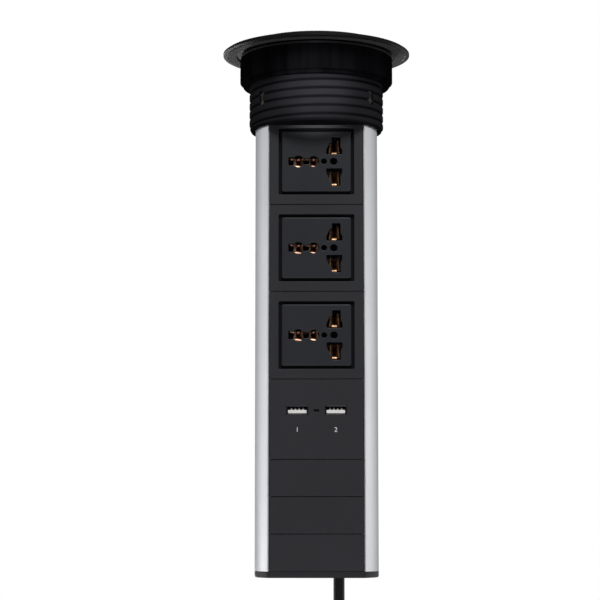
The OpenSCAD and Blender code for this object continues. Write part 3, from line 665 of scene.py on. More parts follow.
def copies_tree():
    """Geometry Nodes: one pattern piece at each point, turned by the point's own angles."""
    tree = bpy.data.node_groups.get("copies_at_points")
    if tree:
        return tree
    tree = bpy.data.node_groups.new("copies_at_points", "GeometryNodeTree")
    inputs = {"Points": "Geometry", "Pattern piece": "Object", "Scale": "Float", "Finish": "Material"}
    for name, kind in inputs.items():
        tree.interface.new_socket(name, in_out="INPUT", socket_type="NodeSocket" + kind)
    tree.interface.new_socket("Copies", in_out="OUTPUT", socket_type="NodeSocketGeometry")
    given = add(tree, "NodeGroupInput").outputs
    pattern = add(tree, "GeometryNodeObjectInfo", {"Object": given["Pattern piece"]}).outputs["Geometry"]
    angles = add(tree, "GeometryNodeInputNamedAttribute", {"Name": "turn"}, data_type="FLOAT_VECTOR")
    turns = add(tree, "FunctionNodeEulerToRotation", {"Euler": angles.outputs["Attribute"]})
    spots = {"Points": given["Points"], "Instance": pattern, "Rotation": turns, "Scale": given["Scale"]}
    placed = add(tree, "GeometryNodeInstanceOnPoints", spots)
    real = add(tree, "GeometryNodeRealizeInstances", {"Geometry": placed})
    dressed = add(tree, "GeometryNodeSetMaterial", {"Geometry": real, "Material": given["Finish"]})
    add(tree, "NodeGroupOutput", {"Copies": dressed})
    return tree


def copies(name, pattern_form, places, slot, nodes, finish):
    """Puts a pattern piece at each (point in mm, Euler turn), as one plain mesh."""
    pattern = new_object("pattern", mesh_of("pattern", pattern_form))
    points = bpy.data.meshes.new("points")
    points.from_pydata([Vector(point) * MM for point, _ in places], [], [])
    turns = points.attributes.new("turn", "FLOAT_VECTOR", "POINT")
    turns.data.foreach_set("vector", [angle for _, turn in places for angle in turn])
    carrier = new_object("points", points)
    maker = carrier.modifiers.new("copies", "NODES")
    maker.node_group = copies_tree()
    values = {"Pattern piece": pattern, "Scale": 1.0, "Finish": finish}
    for item in maker.node_group.interface.items_tree:
        if item.in_out == "INPUT" and item.name in values:
            maker[item.identifier] = values[item.name]
    mesh = settled(carrier, name)
    bpy.data.objects.remove(pattern)
    return smoothed(name, mesh, slot, nodes)


# The places that several pieces share, in millimetres and degrees

SOCKETS, SIDES, HANDS = (1, 2, 3), ("left", "right"), (-1, 1)
INSERT_THICK, SOCKET_DEPTH = 2.0, 15.0
SCREW_ANGLES, SCREW_HOLE = (72, 145, 215, 288), 1.3
SCREW_PORT_RADIUS, SCREW_PORT_SINK = 3.2, 0.8
CORD_X, CORD_BORE = 14.0, 3.55


def tower_front():
    return node_box("tower_profile").low.y


def tower_corner():
    """The angle at which the flat front meets the round back."""
    return math.degrees(math.acos(-tower_front() / size("tower_radius")))


def panel_back():
    return tower_front() + size("panel_thick")


def insert_back():
    return panel_back() + INSERT_THICK


def bar_front():
    return insert_back() + SOCKET_DEPTH


def socket_z(number):
    return node_box("socket_frame_%d" % number).middle.z


def screw_spots():
    """The middles of the profile's screw ports."""
    ring = size("tower_radius") - size("wall") - SCREW_PORT_RADIUS + SCREW_PORT_SINK
    return [around(angle, ring) for angle in SCREW_ANGLES]


class PieceMaker:
    """What every operator here shares"""

    bl_options = {"REGISTER", "UNDO"}


# The stage: the camera's lens and sensor in millimetres, and its place in metres and degrees

CAMERA_LENS, CAMERA_SENSOR = 122.59, 36.0
CAMERA_PLACE, CAMERA_TILT, CAMERA_TURN = (0.0, -1.295, -0.3018), 6.345, 0.4639
# The brightness of the room in reflections, from the camera's side at 0 to behind the object at 1
ROOM_LEVELS = ((0.0, 0.06), (0.37, 0.09), (0.53, 1.0), (0.72, 1.0), (1.0, 0.15))
# Metres: the floor's half width, its gap below the object and where it fades, and what the lamps are aimed at
FLOOR_HALF, FLOOR_GAP, FADE_START, FADE_END = 4.0, 0.01, 0.6, 3.0
TOWER_AIM, FLANGE_AIM, SLEEVE_AIM, FOOT_AIM = ((0, 0, z) for z in (-0.17, -0.01, -0.025, -0.27))
SNOOT_RADIUS = 0.005


class DESKSOCKET_OT_stage(PieceMaker, bpy.types.Operator):
    """Sets the camera, the lights, the pale floor and the white surroundings"""

    bl_idname = "desk_socket.stage"
    bl_label = "Camera, light and floor"

    def execute(self, context):
        context.scene.view_settings.view_transform = "Standard"
        self.camera(context.scene)
        self.surroundings(context.scene)
        self.floor()
        self.lamp("top_softbox", (0.2, -0.2, 1.7), panel=(1.6, 1.6), watts=6.0)
        self.lamp("left_softbox", (-1.4, -0.6, 0.35), panel=(0.5, 0.9), watts=0.6)
        self.lamp("right_softbox", (1.3, -0.6, 0.35), panel=(0.5, 0.9), watts=1.5)
        # Two gridded lamps from behind on the left, for the flange's underside and the profile's foot
        self.lamp("flange_grid", (-0.42, 1.5, -0.37), panel=(0.45, 0.3), watts=0.2, aim=FLANGE_AIM, beam=20)
        self.lamp("foot_grid", (-1.0, 0.55, -0.5), panel=(0.8, 0.15), watts=0.035, aim=FOOT_AIM, beam=20)
        self.lamp("front_softbox", (0.2, -1.5, 1.1), panel=(0.7, 0.6), watts=20.0)
        self.snoot("collar_snoot", (0.0, -1.2, -0.12), watts=85.0, aim=SLEEVE_AIM, cone=3.0)
        return {"FINISHED"}

    def camera(self, scene):
        lens = bpy.data.cameras.new("camera")
        lens.lens, lens.sensor_width = CAMERA_LENS, CAMERA_SENSOR
        scene.camera = new_object("camera", lens)
        scene.camera.location = CAMERA_PLACE
        scene.camera.rotation_euler = (math.radians(90 + CAMERA_TILT), 0.0, math.radians(CAMERA_TURN))

    def surroundings(self, scene):
        world = bpy.data.worlds.new("white_studio")
        world.use_nodes = True
        scene.world = world
        tree = world.node_tree
        tree.nodes.clear()
        ray = add(tree, "ShaderNodeLightPath").outputs
        facing = add(tree, "ShaderNodeTexCoord").outputs["Generated"]
        way = add(tree, "ShaderNodeSeparateXYZ", {"Vector": facing}).outputs
        # In reflections the side walls are white, the back is greyer, and the near side and the top are dim
        along = add(tree, "ShaderNodeMapRange", {"Value": way["Y"], "From Min": -1.0, "From Max": 1.0})
        room = add(tree, "ShaderNodeValToRGB", {"Fac": along})
        stops = room.color_ramp.elements
        while len(stops) < len(ROOM_LEVELS):
            stops.new(0.5)
        for stop, (spot, level) in zip(stops, ROOM_LEVELS):
            stop.position, stop.color = spot, (level, level, level, 1.0)
        high = {"Value": way["Z"], "From Min": 0.19, "From Max": 0.27, "To Min": 1.0, "To Max": 0.1}
        walls = add(tree, "ShaderNodeMapRange", high)
        lit = add(tree, "ShaderNodeMath", {0: room, 1: walls}, operation="MULTIPLY")
        glints = add(tree, "ShaderNodeMath", {0: ray["Is Glossy Ray"], 1: lit}, operation="MULTIPLY")
        straight_on = {0: ray["Is Camera Ray"], 1: ray["Is Transmission Ray"]}
        clear = add(tree, "ShaderNodeMath", straight_on, operation="MAXIMUM")
        shown = add(tree, "ShaderNodeMath", {0: clear, 1: glints}, operation="MAXIMUM")
        # The fill light comes mostly from the camera's side and from overhead
        near = {"Value": way["Y"], "From Min": -1.0, "From Max": 0.4, "To Min": 0.3, "To Max": 0.05}
        dome = {"Value": way["Z"], "From Min": 0.3, "From Max": 1.0, "To Min": 0.0, "To Max": 0.75}
        sides = [add(tree, "ShaderNodeMapRange", level) for level in (near, dome)]
        flood = add(tree, "ShaderNodeMath", dict(enumerate(sides)), operation="ADD")
        fill = add(tree, "ShaderNodeMath", {0: ray["Is Diffuse Ray"], 1: flood}, operation="MULTIPLY")
        strength = add(tree, "ShaderNodeMath", {0: shown, 1: fill}, operation="MAXIMUM")
        back = add(tree, "ShaderNodeBackground", {"Color": linear("#ffffff"), "Strength": strength})
        add(tree, "ShaderNodeOutputWorld", {"Surface": back})

    def floor(self):
        form = bmesh.new()
        bmesh.ops.create_grid(form, x_segments=1, y_segments=1, size=FLOOR_HALF)
        mesh = mesh_of("floor", form)
        # Painted board: matt and almost white. It fades into the room, and is clear when seen from below
        pale = plain("pale_floor", "#f4f4f4", rough=0.8, drift=0.01, broad=400, fine=3, deep=0.01)
        tree = pale.node_tree
        out = tree.nodes["Material Output"].inputs["Surface"]
        place = add(tree, "ShaderNodeTexCoord").outputs["Object"]
        far = add(tree, "ShaderNodeVectorMath", {0: place}, operation="LENGTH").outputs["Value"]
        reach = {"Value": far, "From Min": FADE_START, "From Max": FADE_END}
        fade = add(tree, "ShaderNodeMapRange", reach, interpolation_type="SMOOTHSTEP")
        below = add(tree, "ShaderNodeNewGeometry").outputs["Backfacing"]
        share = add(tree, "ShaderNodeMath", {0: below, 1: fade}, operation="MAXIMUM")
        clear = add(tree, "ShaderNodeBsdfTransparent")
        seen = add(tree, "ShaderNodeMixShader", {0: share, 1: out.links[0].from_socket, 2: clear})
        tree.links.new(seen.outputs[0], out)
        mesh.materials.append(pale)
        floor = new_object("floor", mesh)
        floor.location.z = CAD_BOX[0][2] - FLOOR_GAP

    def hang(self, name, data, place, aim):
        """Puts up a light that shines at a point and doesn't show."""
        lamp = new_object(name, data)
        lamp.location = place
        lamp.visible_camera = False
        lamp.rotation_euler = (Vector(aim) - Vector(place)).to_track_quat("-Z", "Y").to_euler()

    def snoot(self, name, place, watts, aim, cone):
        """A narrow soft-edged pool of light."""
        data = bpy.data.lights.new(name, "SPOT")
        data.energy, data.shadow_soft_size = watts, SNOOT_RADIUS
        data.spot_size, data.spot_blend = math.radians(cone), 1.0
        self.hang(name, data, place, aim)

    def lamp(self, name, place, panel, watts, aim=TOWER_AIM, beam=180):
        """A lit panel, whose grid may narrow its beam."""
        data = bpy.data.lights.new(name, "AREA")
        data.shape, data.energy, data.spread = "RECTANGLE", watts, math.radians(beam)
        data.size, data.size_y = panel
        self.hang(name, data, place, aim)


# The mains cord's route, as in the part's source, in millimetres and degrees

COIL_TURNS, COIL_LAYERS, COIL_STEP, COIL_GAP = 6.125, 4, 7.5, 0.6
COIL_FIRST, COIL_OUT_RADIUS, COIL_LEFT, COIL_DROP = 45.0, 42.2, 15.0, 83.0
LEAD_KNOTS = (
    (0, 0), (0, -8), (0, -16), (0, -24), (0.35, -28.5), (1.2, -33), (2.6, -37.2), (4.6, -41), (7, -44.6),
)
TAIL_KNOTS = (3.5, 7.0, 11.0, 15.0, 19.0, 23.0)

# The tie and the plug, in millimetres

TIE_WALL, TIE_ROUND, TIE_INNER_ROUND = 1.2, 3.2, 2.2
STRAP_THICK, STRAP_LONG, STRAP_OUT, STRAP_BACK, STRAP_INSET = 0.9, 15.0, 0.3, 2.0, 0.6
PLUG_RADIUS, PLUG_WAIST, PLUG_NECK = 18.0, 12.96, 6.5
SHOULDER_DROP, WAIST_DROP, NECK_DROP = 45.0, 36.2, 28.0
RIBS, RIB_PITCH, RIB_FIRST, RIB_RADIUS, RIB_GROWTH, RELIEF_TOP = 6, 3.9, 3.0, 4.45, 0.36, 3.9
RIB_CORNERS = ((0.25, 0.0, 0.25), (0.32, -2.2, 0.25), (-0.25, -2.5, 0.2), (-0.2, -3.4, 0.2))
PIN_RADIUS, PIN_X, PIN_ROUND = 2.4, 9.5, 1.6
CLIP_HALF, CLIP_TALL, CLIP_Y, CLIP_THICK, CLIP_GAP = 3.0, 20.0, 15.0, 1.0, 0.1
NOTCH_Y, NOTCH_DEEP = 17.0, 2.0


def cap_bottom():
    return node_box("end_cap").low.z


def coil_point(phi):
    """The cord's middle in its coil, after phi degrees."""
    step = size("cord_diameter") + COIL_GAP
    sweep = 360 * COIL_TURNS / COIL_LAYERS
    layer = min(COIL_LAYERS - 1, int(phi // sweep))
    into = (phi - layer * sweep) / 360
    inner = COIL_OUT_RADIUS - step * sweep / 360
    radius = COIL_OUT_RADIUS - step * into if layer % 2 == 0 else inner + step * into
    depth = 0.0
    for n in range(1, COIL_LAYERS):
        share = max(0.0, min(1.0, (phi - n * sweep + 90) / 180))
        depth += step * (1 - math.cos(math.pi * share)) / 2
    spot = polar(radius, math.radians(COIL_FIRST - phi), CORD_X - COIL_LEFT, cap_bottom() - COIL_DROP)
    return Vector((spot.x, depth, spot.y))


def cord_route():
    """The cord's middle line from the gland to the plug."""
    lead = [Vector((CORD_X + x, 0, cap_bottom() + z)) for x, z in LEAD_KNOTS]
    start = coil_point(0) - size("cord_diameter") * Vector((1, 0, -1)).normalized()
    coil = [coil_point(COIL_STEP * k) for k in range(int(COIL_TURNS * 360 / COIL_STEP) + 1)]
    tail = [coil[-1] + Vector((0, 0, -drop)) for drop in TAIL_KNOTS]
    return lead + [start] + coil + tail


class DESKSOCKET_OT_cord(PieceMaker, bpy.types.Operator):
    """Makes the mains cord, its tied coil and its plug"""

    bl_idname = "desk_socket.cord"
    bl_label = "Mains cord and plug"

    def execute(self, context):
        route = cord_route()
        line = bpy.data.curves.new("mains_cord", "CURVE")
        line.dimensions, line.bevel_depth, line.bevel_resolution = "3D", size("cord_diameter") / 2 * MM, 6
        line.use_fill_caps = True
        spline = line.splines.new("POLY")
        spline.points.add(len(route) - 1)
        for knot, point in zip(spline.points, route):
            knot.co = (*(point * MM), 1.0)
        spline.use_smooth = True
        line.materials.append(cord_pvc())
        cord = seated(new_object("mains_cord", line), ["cord_lead", "cord_coil", "cord_tail"])
        pieces = [self.tie(), *self.plug(route[-1])]
        size("cord_diameter") * MM
        return {"FINISHED"}

    def tie(self):
        low, high, middle, span = node_box("coil_tie")
        form = bmesh.new()
        outer = rectangle(span.x, span.y, TIE_ROUND, middle.x, middle.y, 8)
        inner_wide, inner_deep = span.x - 2 * TIE_WALL, span.y - 2 * TIE_WALL
        inner = rectangle(inner_wide, inner_deep, TIE_INNER_ROUND, middle.x, middle.y, 8)
        prism(form, [outer, inner], edge_rings(low.z, high.z, 0.3, 0.3), along_z)
        strap = rectangle(STRAP_THICK, STRAP_LONG, 0.4, low.x + STRAP_OUT, middle.y + STRAP_BACK, 4)
        prism(form, [strap], edge_rings(low.z + STRAP_INSET, high.z - STRAP_INSET, 0.2, 0.2), along_z)
        return piece("coil_tie_strap", form, "gland_rubber", ["coil_tie"], tie_nylon())

    def plug(self, top):
        return [self.shell(top), self.pins(top), self.clips(top)]

    def shell(self, top):
        """The plug's body with its ribbed strain relief, and a notch for each earth clip."""
        face = node_box("plug_body").low.z
        outline = [(0, top.z, 0), (RELIEF_TOP, top.z, 0.3)]
        for k in range(RIBS):
            height, radius = top.z - RIB_FIRST - RIB_PITCH * k, RIB_RADIUS + RIB_GROWTH * k
            outline += [(radius + out, height + rise, bend) for out, rise, bend in RIB_CORNERS]
        outline += [(PLUG_NECK, top.z - NECK_DROP, 1.5), (PLUG_WAIST, top.z - WAIST_DROP, 6.0)]
        outline += [(PLUG_RADIUS, top.z - SHOULDER_DROP, 4.0), (PLUG_RADIUS, face, 1.5), (0, face, 0)]
        form, cutter = bmesh.new(), bmesh.new()
        lathe(form, fillet(outline, 4, 0.1), top.x, top.y, 96)
        for hand in HANDS:
            wide, deep = about(top.x, CLIP_HALF + CLIP_GAP), about(top.y + hand * NOTCH_Y, NOTCH_DEEP)
            block(cutter, wide, deep, (face - 3, face + CLIP_TALL + CLIP_GAP), 0.4, 0.3)
        # Moulded ABS: satin black
        finish = plain("plug_abs", "#151517", rough=0.4, drift=0.06, broad=14)
        return piece("plug_shell", cut_away(form, cutter), "plug_plastic", ["plug_body"], finish)

    def pins(self, top):
        face, tip = node_box("plug_body").low.z, node_box("plug_pins").low.z
        corners = [(0, face, 0), (PIN_RADIUS, face, 0), (PIN_RADIUS, tip, PIN_ROUND), (0, tip, 0)]
        outline = fillet(corners, 6, 0.1)
        spots = [(top.x + hand * PIN_X, top.y) for hand in HANDS]
        return turned("plug_pin_pair", outline, "pin_metal", ["plug_pins"], plated_steel(), spots, 32)

    def clips(self, top):
        face = node_box("plug_body").low.z
        form = bmesh.new()
        for hand in HANDS:
            deep = sorted((top.y + hand * CLIP_Y, top.y + hand * (CLIP_Y + CLIP_THICK)))
            block(form, about(top.x, CLIP_HALF), deep, (face + CLIP_GAP, face + CLIP_TALL), 0.6, 0.3)
        return piece("plug_clips", form, "pin_metal", ["plug_earth_clips"], plated_steel())


# The collar, in millimetres: the flange's top, underside and gasket seat, and the sleeve's thread and foot

FLAT_RADIUS, BEVEL_DROP, BELLY, GASKET_SEAT, GASKET_GAP = 50.0, 1.6, 0.4, 1.2, 0.1
THREAD_TOP, THREAD_END, ROW_STEP, RUN_IN, RUN_OUT, RUN_OUT_END = -1.0, 1.0, 0.3, 2.0, 1.2, 0.8
RIDGE_HALF, RIDGE_FLANK, RIDGE_CROWN = 0.5, 0.42, 0.12
FOOT_ROWS = ((0.0, 0.62), (0.0, 0.5), (0.15, 0.15), (0.5, 0.0), (0.62, 0.0))
BORE_CHAMFER = 0.5

# The brakes: half width and half height of a window and of its leaf's pocket, and how deep they are cut

BRAKE_WINDOW, LEAF_POCKET, CUT_NEAR, CUT_FAR = (2.1, 4.5), (3.3, 5.7), 34.0, 46.0
LEAF_HALF, LEAF_THICK, LEAF_BOW, LEAF_STEPS = 3.1, 0.4, 0.35, 24


class DESKSOCKET_OT_collar(PieceMaker, bpy.types.Operator):
    """Makes the flange with its threaded sleeve, the gasket and the brake springs, and finishes the pads"""

    bl_idname = "desk_socket.collar"
    bl_label = "Collar"

    def execute(self, context):
        lip = size("flange_radius") - size("seat_width")
        inner = lip - 2 * GASKET_GAP - size("gasket_width")
        form = self.with_windows(self.moulding(lip, inner))
        # Faces above the thread take the flange's darker copy of the ABS, which is painted shade
        for face in form.faces:
            face.material_index = int(face.calc_center_median().z > THREAD_TOP * MM)
        finishes = collar_abs(), flange_abs()
        piece("collar_moulding", form, "collar_plastic", ["collar"], *finishes, body="collar")
        self.gasket(lip - GASKET_GAP, inner + GASKET_GAP)
        self.springs()
        for side in SIDES:
            # Moulded acetal: mid grey, waxy
            finish_node("brake_pad_" + side, plain("brake_acetal", "#6f6f72"))
        return {"FINISHED"}

    def ridge(self, turn, height):
        """How far the thread stands out at a turn and a height: a right-hand helix with rounded ridges."""
        phase = (height / size("thread_pitch") - turn) % 1.0
        away = abs(phase - 0.5) * 2
        share = max(0.0, min(1.0, (away - RIDGE_HALF) / RIDGE_FLANK))
        return (1 - RIDGE_CROWN * away * away) * (1 - ease(share))

    def outside(self, top, bottom, lip, inner, count):
        """Rows of (radius, height) from the flange's top, round its rim and down the thread to the foot."""
        rim, bevel = size("flange_radius"), size("flange_radius") - size("flange_bevel")
        deep, root = size("thread_depth"), size("thread_radius") - size("thread_depth")
        outline = [(FLAT_RADIUS, top, 0), (bevel, top, 3.0), (rim, top - BEVEL_DROP, 0.6), (rim, 0, 0.35)]
        outline += [(lip, 0, 0.3), (lip, GASKET_SEAT, 0.1), (inner, GASKET_SEAT, 0.1)]
        outline += [(inner, BELLY, 0.2), (root, BELLY, 0), (root, THREAD_TOP, 0)]
        rows = [[tuple(p)] * count for p in fillet(outline, 5, GUARD)]
        for k in range(1, int((THREAD_TOP - THREAD_END - bottom) / ROW_STEP) + 1):
            height = THREAD_TOP - ROW_STEP * k
            begun, left = (THREAD_TOP - height) / RUN_IN, (height - bottom - RUN_OUT_END) / RUN_OUT
            crest = deep * min(1.0, begun) * min(1.0, left)
            rows.append([(root + crest * self.ridge(n / count, height), height) for n in range(count)])
        return rows + [[(root - inset, bottom + rise)] * count for inset, rise in FOOT_ROWS]

    def bore_loop(self, grow=0.0):
        """The hole that the tower slides in: round, with a flat front."""
        radius = size("tower_radius") + size("slide_gap") + grow
        front = -tower_front() + size("slide_gap") / 2 + grow
        corner = math.degrees(math.acos(front / radius))
        points = arc(radius, corner, 360 - corner, 120)
        return points + [points[-1].lerp(points[0], k / 12) for k in range(1, 12)]

    def moulding(self, lip, inner):
        """The flange and the sleeve as one closed shell."""
        low, high, _, _ = node_box("collar")
        count = bpy.context.scene.desk_socket_sizes.round_steps * 2
        form = bmesh.new()
        skins = [
            [along_z(*polar(radius, math.tau * k / count), height) for k, (radius, height) in enumerate(row)]
            for row in self.outside(high.z, low.z, lip, inner, count)
        ]
        bore = ((high.z, 0.0), (low.z + BORE_CHAMFER, 0.0), (low.z, BORE_CHAMFER))
        holes = [[along_z(p.x, p.y, height) for p in self.bore_loop(grow)] for height, grow in bore]
        skins, holes = ([[form.verts.new(p) for p in row] for row in rows] for rows in (skins, holes))
        skin(form, skins)
        skin(form, holes)
        for end in (0, -1):
            end_face(form, [skins[end], holes[end]])
        bmesh.ops.recalc_face_normals(form, faces=form.faces)
        return form

    def brake_frame(self, side):
        """The turn to a brake window, and its spring's height and distance from the axis."""
        middle = node_box("brake_spring_" + side).middle
        return Matrix.Rotation(math.atan2(middle.x, -middle.y), 4, "Z"), middle.z, middle.xy.length

    def with_windows(self, form):
        cutter = bmesh.new()
        for side in SIDES:
            turn, z, out = self.brake_frame(side)
            for (half, tall), near in ((BRAKE_WINDOW, CUT_NEAR), (LEAF_POCKET, out - LEAF_THICK / 2)):
                faces = block(cutter, about(0, half), (-CUT_FAR, -near), about(z, tall), 0.5, 0.1)
                bmesh.ops.transform(cutter, matrix=turn, verts=list({v for f in faces for v in f.verts}))
        return cut_away(form, cutter)

    def gasket(self, outer, inner):
        low, high, _, _ = node_box("desk_gasket")
        ring = [(inner, high.z, 0.1), (outer, high.z, 0.1), (outer, low.z, 0.4), (inner, low.z, 0.4)]
        turned("foam_ring", fillet(ring, 5, 0.1), "gasket_foam", ["desk_gasket"], foam(), body="collar")

    def springs(self):
        form = bmesh.new()
        for side in SIDES:
            turn, z, out = self.brake_frame(side)
            tall = node_box("brake_spring_" + side).span.z / 2
            rows = []
            for k in range(LEAF_STEPS + 1):
                share = -1 + 2 * k / LEAF_STEPS
                bowed = -out - LEAF_BOW * (1 - share * share)
                front, back = about(bowed, LEAF_THICK / 2)
                section = ((-LEAF_HALF, front), (LEAF_HALF, front), (LEAF_HALF, back), (-LEAF_HALF, back))
                rows.append([turn @ Vector((*p, z + share * tall)) for p in section])
            loft(form, rows)
        nodes = ["brake_spring_" + side for side in SIDES]
        piece("brake_leaves", form, "spring_steel", nodes, blued_spring(), body="collar")


class DESKSOCKET_OT_ring_nut(PieceMaker, bpy.types.Operator):
    """Makes the ring nut and the slip washer above it"""

    bl_idname = "desk_socket.ring_nut"
    bl_label = "Ring nut"

    def execute(self, context):
        low, high, _, _ = node_box("ring_nut")
        radius, bore = size("nut_radius"), size("nut_bore")
        lip, lip_z = radius - size("nut_lip_step"), low.z + size("nut_lip_height")
        corners = [(bore, high.z, 0.3), (radius, high.z, 0.6), (radius, lip_z, 0.9)]
        corners += [(lip, lip_z, 0.25), (lip, low.z, 0.6), (bore, low.z, 0.4)]
        outline = fillet(corners, 6, 0.15)
        turned("ring_nut_moulding", outline, "nut_plastic", ["ring_nut"], nut_abs(), body="nut")
        low, high, _, _ = node_box("clamp_washer")
        corners = [(bore, high.z, 0.15), (high.x, high.z, 0.3), (high.x, low.z, 0.3), (bore, low.z, 0.15)]
        outline = fillet(corners, 4, 0.1)
        turned("slip_washer", outline, "collar_plastic", ["clamp_washer"], lid_abs(), body="washer")
        return {"FINISHED"}


# The profile: half the angle that a screw port takes up on the inner wall, and a panel's gap in its channel

PORT_HALF_ANGLE, CHANNEL_GAP = 3.387, 0.2


class DESKSOCKET_OT_tower(PieceMaker, bpy.types.Operator):
    """Makes the extruded aluminium profile"""

    bl_idname = "desk_socket.tower"
    bl_label = "Tower profile"

    def execute(self, context):
        low, high, _, _ = node_box("tower_profile")
        loops = [self.outline()] + [circle(SCREW_HOLE, *spot, 24) for spot in screw_spots()]
        form = bmesh.new()
        straight(form, loops, low.z, high.z, along_z)
        finish = anodised_aluminium()
        piece("tower_extrusion", form, "tower_aluminium", ["tower_profile"], finish, smooth=30)
        return {"FINISHED"}

    def outline(self):
        radius, inner, rail = size("tower_radius"), size("tower_radius") - size("wall"), size("rail_x")
        front, back, rail_back = tower_front(), panel_back(), panel_back() + size("rail_thick")
        channel = node_box("filler_panel").high.x + CHANNEL_GAP
        corner, start = tower_corner(), math.degrees(math.acos(-rail_back / inner))
        edge = [(rail, back, 0.2), (channel, back, 0.1), (channel, front, 0.15)]
        edge += [(*around(corner, radius), 0.3), (*around(corner + 3, radius), 0)]
        # The last point only gives the corner its direction, and the arc takes over just past the rounding
        right = fillet(edge, 4)[:-1]
        outer = arc(radius, corner + 2, 360 - corner - 2, 220)
        inside, reached = [Vector((-rail, rail_back))], 360 - start
        for angle, spot in zip(reversed(SCREW_ANGLES), reversed(screw_spots())):
            inside += arc(inner, reached, angle + PORT_HALF_ANGLE, 24)
            reached = angle - PORT_HALF_ANGLE
            one, two = inside[-1] - spot, around(reached, inner) - spot
            sweep = math.tau - abs(one.angle_signed(two))
            inside += [spot + Matrix.Rotation(sweep * k / 20, 2) @ one for k in range(1, 20)]
        inside += arc(inner, reached, start, 24) + [Vector((rail, rail_back))]
        return right + outer + mirrored(right) + inside


# The lid, in millimetres

LID_CHAMFER, INLAY_GAP = 1.6, 0.1


class DESKSOCKET_OT_lid(PieceMaker, bpy.types.Operator):
    """Makes the lid and the disc let into it"""

    bl_idname = "desk_socket.lid"
    bl_label = "Lid"

    def execute(self, context):
        low, high, _, _ = node_box("lid")
        disc_low, disc_high, _, _ = node_box("lid_disc")
        radius, disc, seat = high.x, disc_high.x, disc_high.x + INLAY_GAP
        outline = [(0, low.z, 0), (radius - LID_CHAMFER, low.z, 0.5), (radius, low.z + LID_CHAMFER, 0.6)]
        outline += [(radius, high.z, 1.2), (seat, high.z, 0.25), (seat, disc_low.z, 0), (0, disc_low.z, 0)]
        turned("lid_moulding", fillet(outline, 6, GUARD), "collar_plastic", ["lid"], lid_abs())
        outline = [(0, disc_low.z, 0), (disc, disc_low.z, 0), (disc, disc_high.z, 0.3), (0, disc_high.z, 0)]
        turned("lid_inlay", fillet(outline, 4, GUARD), "panel_plastic", ["lid_disc"], panel_abs())
        return {"FINISHED"}


# The legs that hook a panel behind the rails, in millimetres

LEG_THICK, LEG_HALF, LEG_SINK, RAIL_GAP, HOOK_GAP = 1.4, 4.0, 0.3, 0.2, 0.1
HOOK_OUT, HOOK_EDGE, HOOK_TIP, HOOK_DEEP = 1.0, 0.4, 0.2, 1.2


def snap_legs(form, z):
    """The two legs of a panel."""
    rail, back = size("rail_x") - RAIL_GAP, panel_back() - LEG_SINK
    hook = panel_back() + size("rail_thick") + HOOK_GAP
    leg = [(rail - LEG_THICK, back), (rail, back), (rail, hook), (rail + HOOK_OUT, hook)]
    leg += [(rail + HOOK_OUT, hook + HOOK_EDGE), (rail + HOOK_TIP, hook + HOOK_DEEP)]
    leg += [(rail - LEG_THICK, hook + HOOK_DEEP)]
    for hand in HANDS:
        straight(form, [[(hand * x, y) for x, y in leg]], *about(z, LEG_HALF), along_z)


def panel_plate(form, node, holes=()):
    """A front panel with rounded edges, its openings and its legs."""
    low, _, middle, span = node_box(node)
    plate = rectangle(span.x, span.z, 0.15, 0, middle.z, 3)
    prism(form, [plate, *holes], edge_rings(low.y, panel_back(), size("edge_round"), 0.0), along_y)
    snap_legs(form, middle.z)


class DESKSOCKET_OT_panels(PieceMaker, bpy.types.Operator):
    """Makes the plain panels of the front"""

    bl_idname = "desk_socket.panels"
    bl_label = "Plain panels"

    def execute(self, context):
        for node in ("filler_panel", "blank_panel_1", "blank_panel_2", "blank_panel_3"):
            form = bmesh.new()
            panel_plate(form, node)
            piece(node.replace("panel", "plate"), form, "panel_plastic", [node], panel_abs())
        return {"FINISHED"}


# Pin holes about a socket's middle, in millimetres: an outline has (u, v, rounding), a round hole (u, radius)

POLE_X, POLE_Z, EARTH_X = 11.2, 10.0, -7.9
POLE_OUTLINE = (
    (-4.9, -5.5, 0.5), (5.0, -5.5, 0.5), (5.0, -2.6, 0.6), (3.9, -0.6, 0.6), (3.9, 5.6, 0.6),
    (-1.4, 5.6, 0.6), (-1.4, 2.4, 0.3), (-2.9, 1.6, 0.5), (-4.9, -2.6, 0.6),
)
ROUND_HOLES = ((-0.3, 2.3), (-6.4, 1.8))
LOBES, LOBE_RADII = (-3.4, 6.2), (3.7, 3.4)
EARTH_END, SLOT_HALF, NECK_HALF = -9.7, 2.6, 1.9

# The socket's face and box, in millimetres

FACE_LAP, BOX_GROWTH, BOX_WALL, FACE_DEEP, OVERLAP = 1.4, 1.2, 1.5, 0.8, 0.3
POST_X, POST_RADIUS, POST_BORE, POST_SINK = -3.0, 2.8, 1.3, 0.4


def earth_outline(z):
    """The earth hole: a slot that runs into a large and a small lobe."""
    (big_x, small_x), (big, small) = LOBES, LOBE_RADII

    def bow(x, radius, start, end, steps=14):
        angles = [start + (end - start) * k / steps for k in range(steps + 1)]
        return [polar(radius, angle, EARTH_X + x, z) for angle in angles]

    slot, neck = math.asin(SLOT_HALF / big), math.asin(NECK_HALF / big)
    small_neck = math.asin(NECK_HALF / small)
    points = [Vector((EARTH_X + EARTH_END, z - SLOT_HALF))] + bow(big_x, big, slot - math.pi, -neck)
    points += bow(small_x, small, small_neck - math.pi, math.pi - small_neck, 28)
    return points + bow(big_x, big, neck, math.pi - slot) + [Vector((EARTH_X + EARTH_END, z + SLOT_HALF))]


def pin_holes(z):
    holes = [earth_outline(z)]
    pole = fillet([(POLE_X + u, POLE_Z + v, radius) for u, v, radius in POLE_OUTLINE], 4)
    holes += [[(p.x, z + side * p.y) for p in pole] for side in (1, -1)]
    return holes + [circle(radius, POLE_X + u, z, 40) for u, radius in ROUND_HOLES]


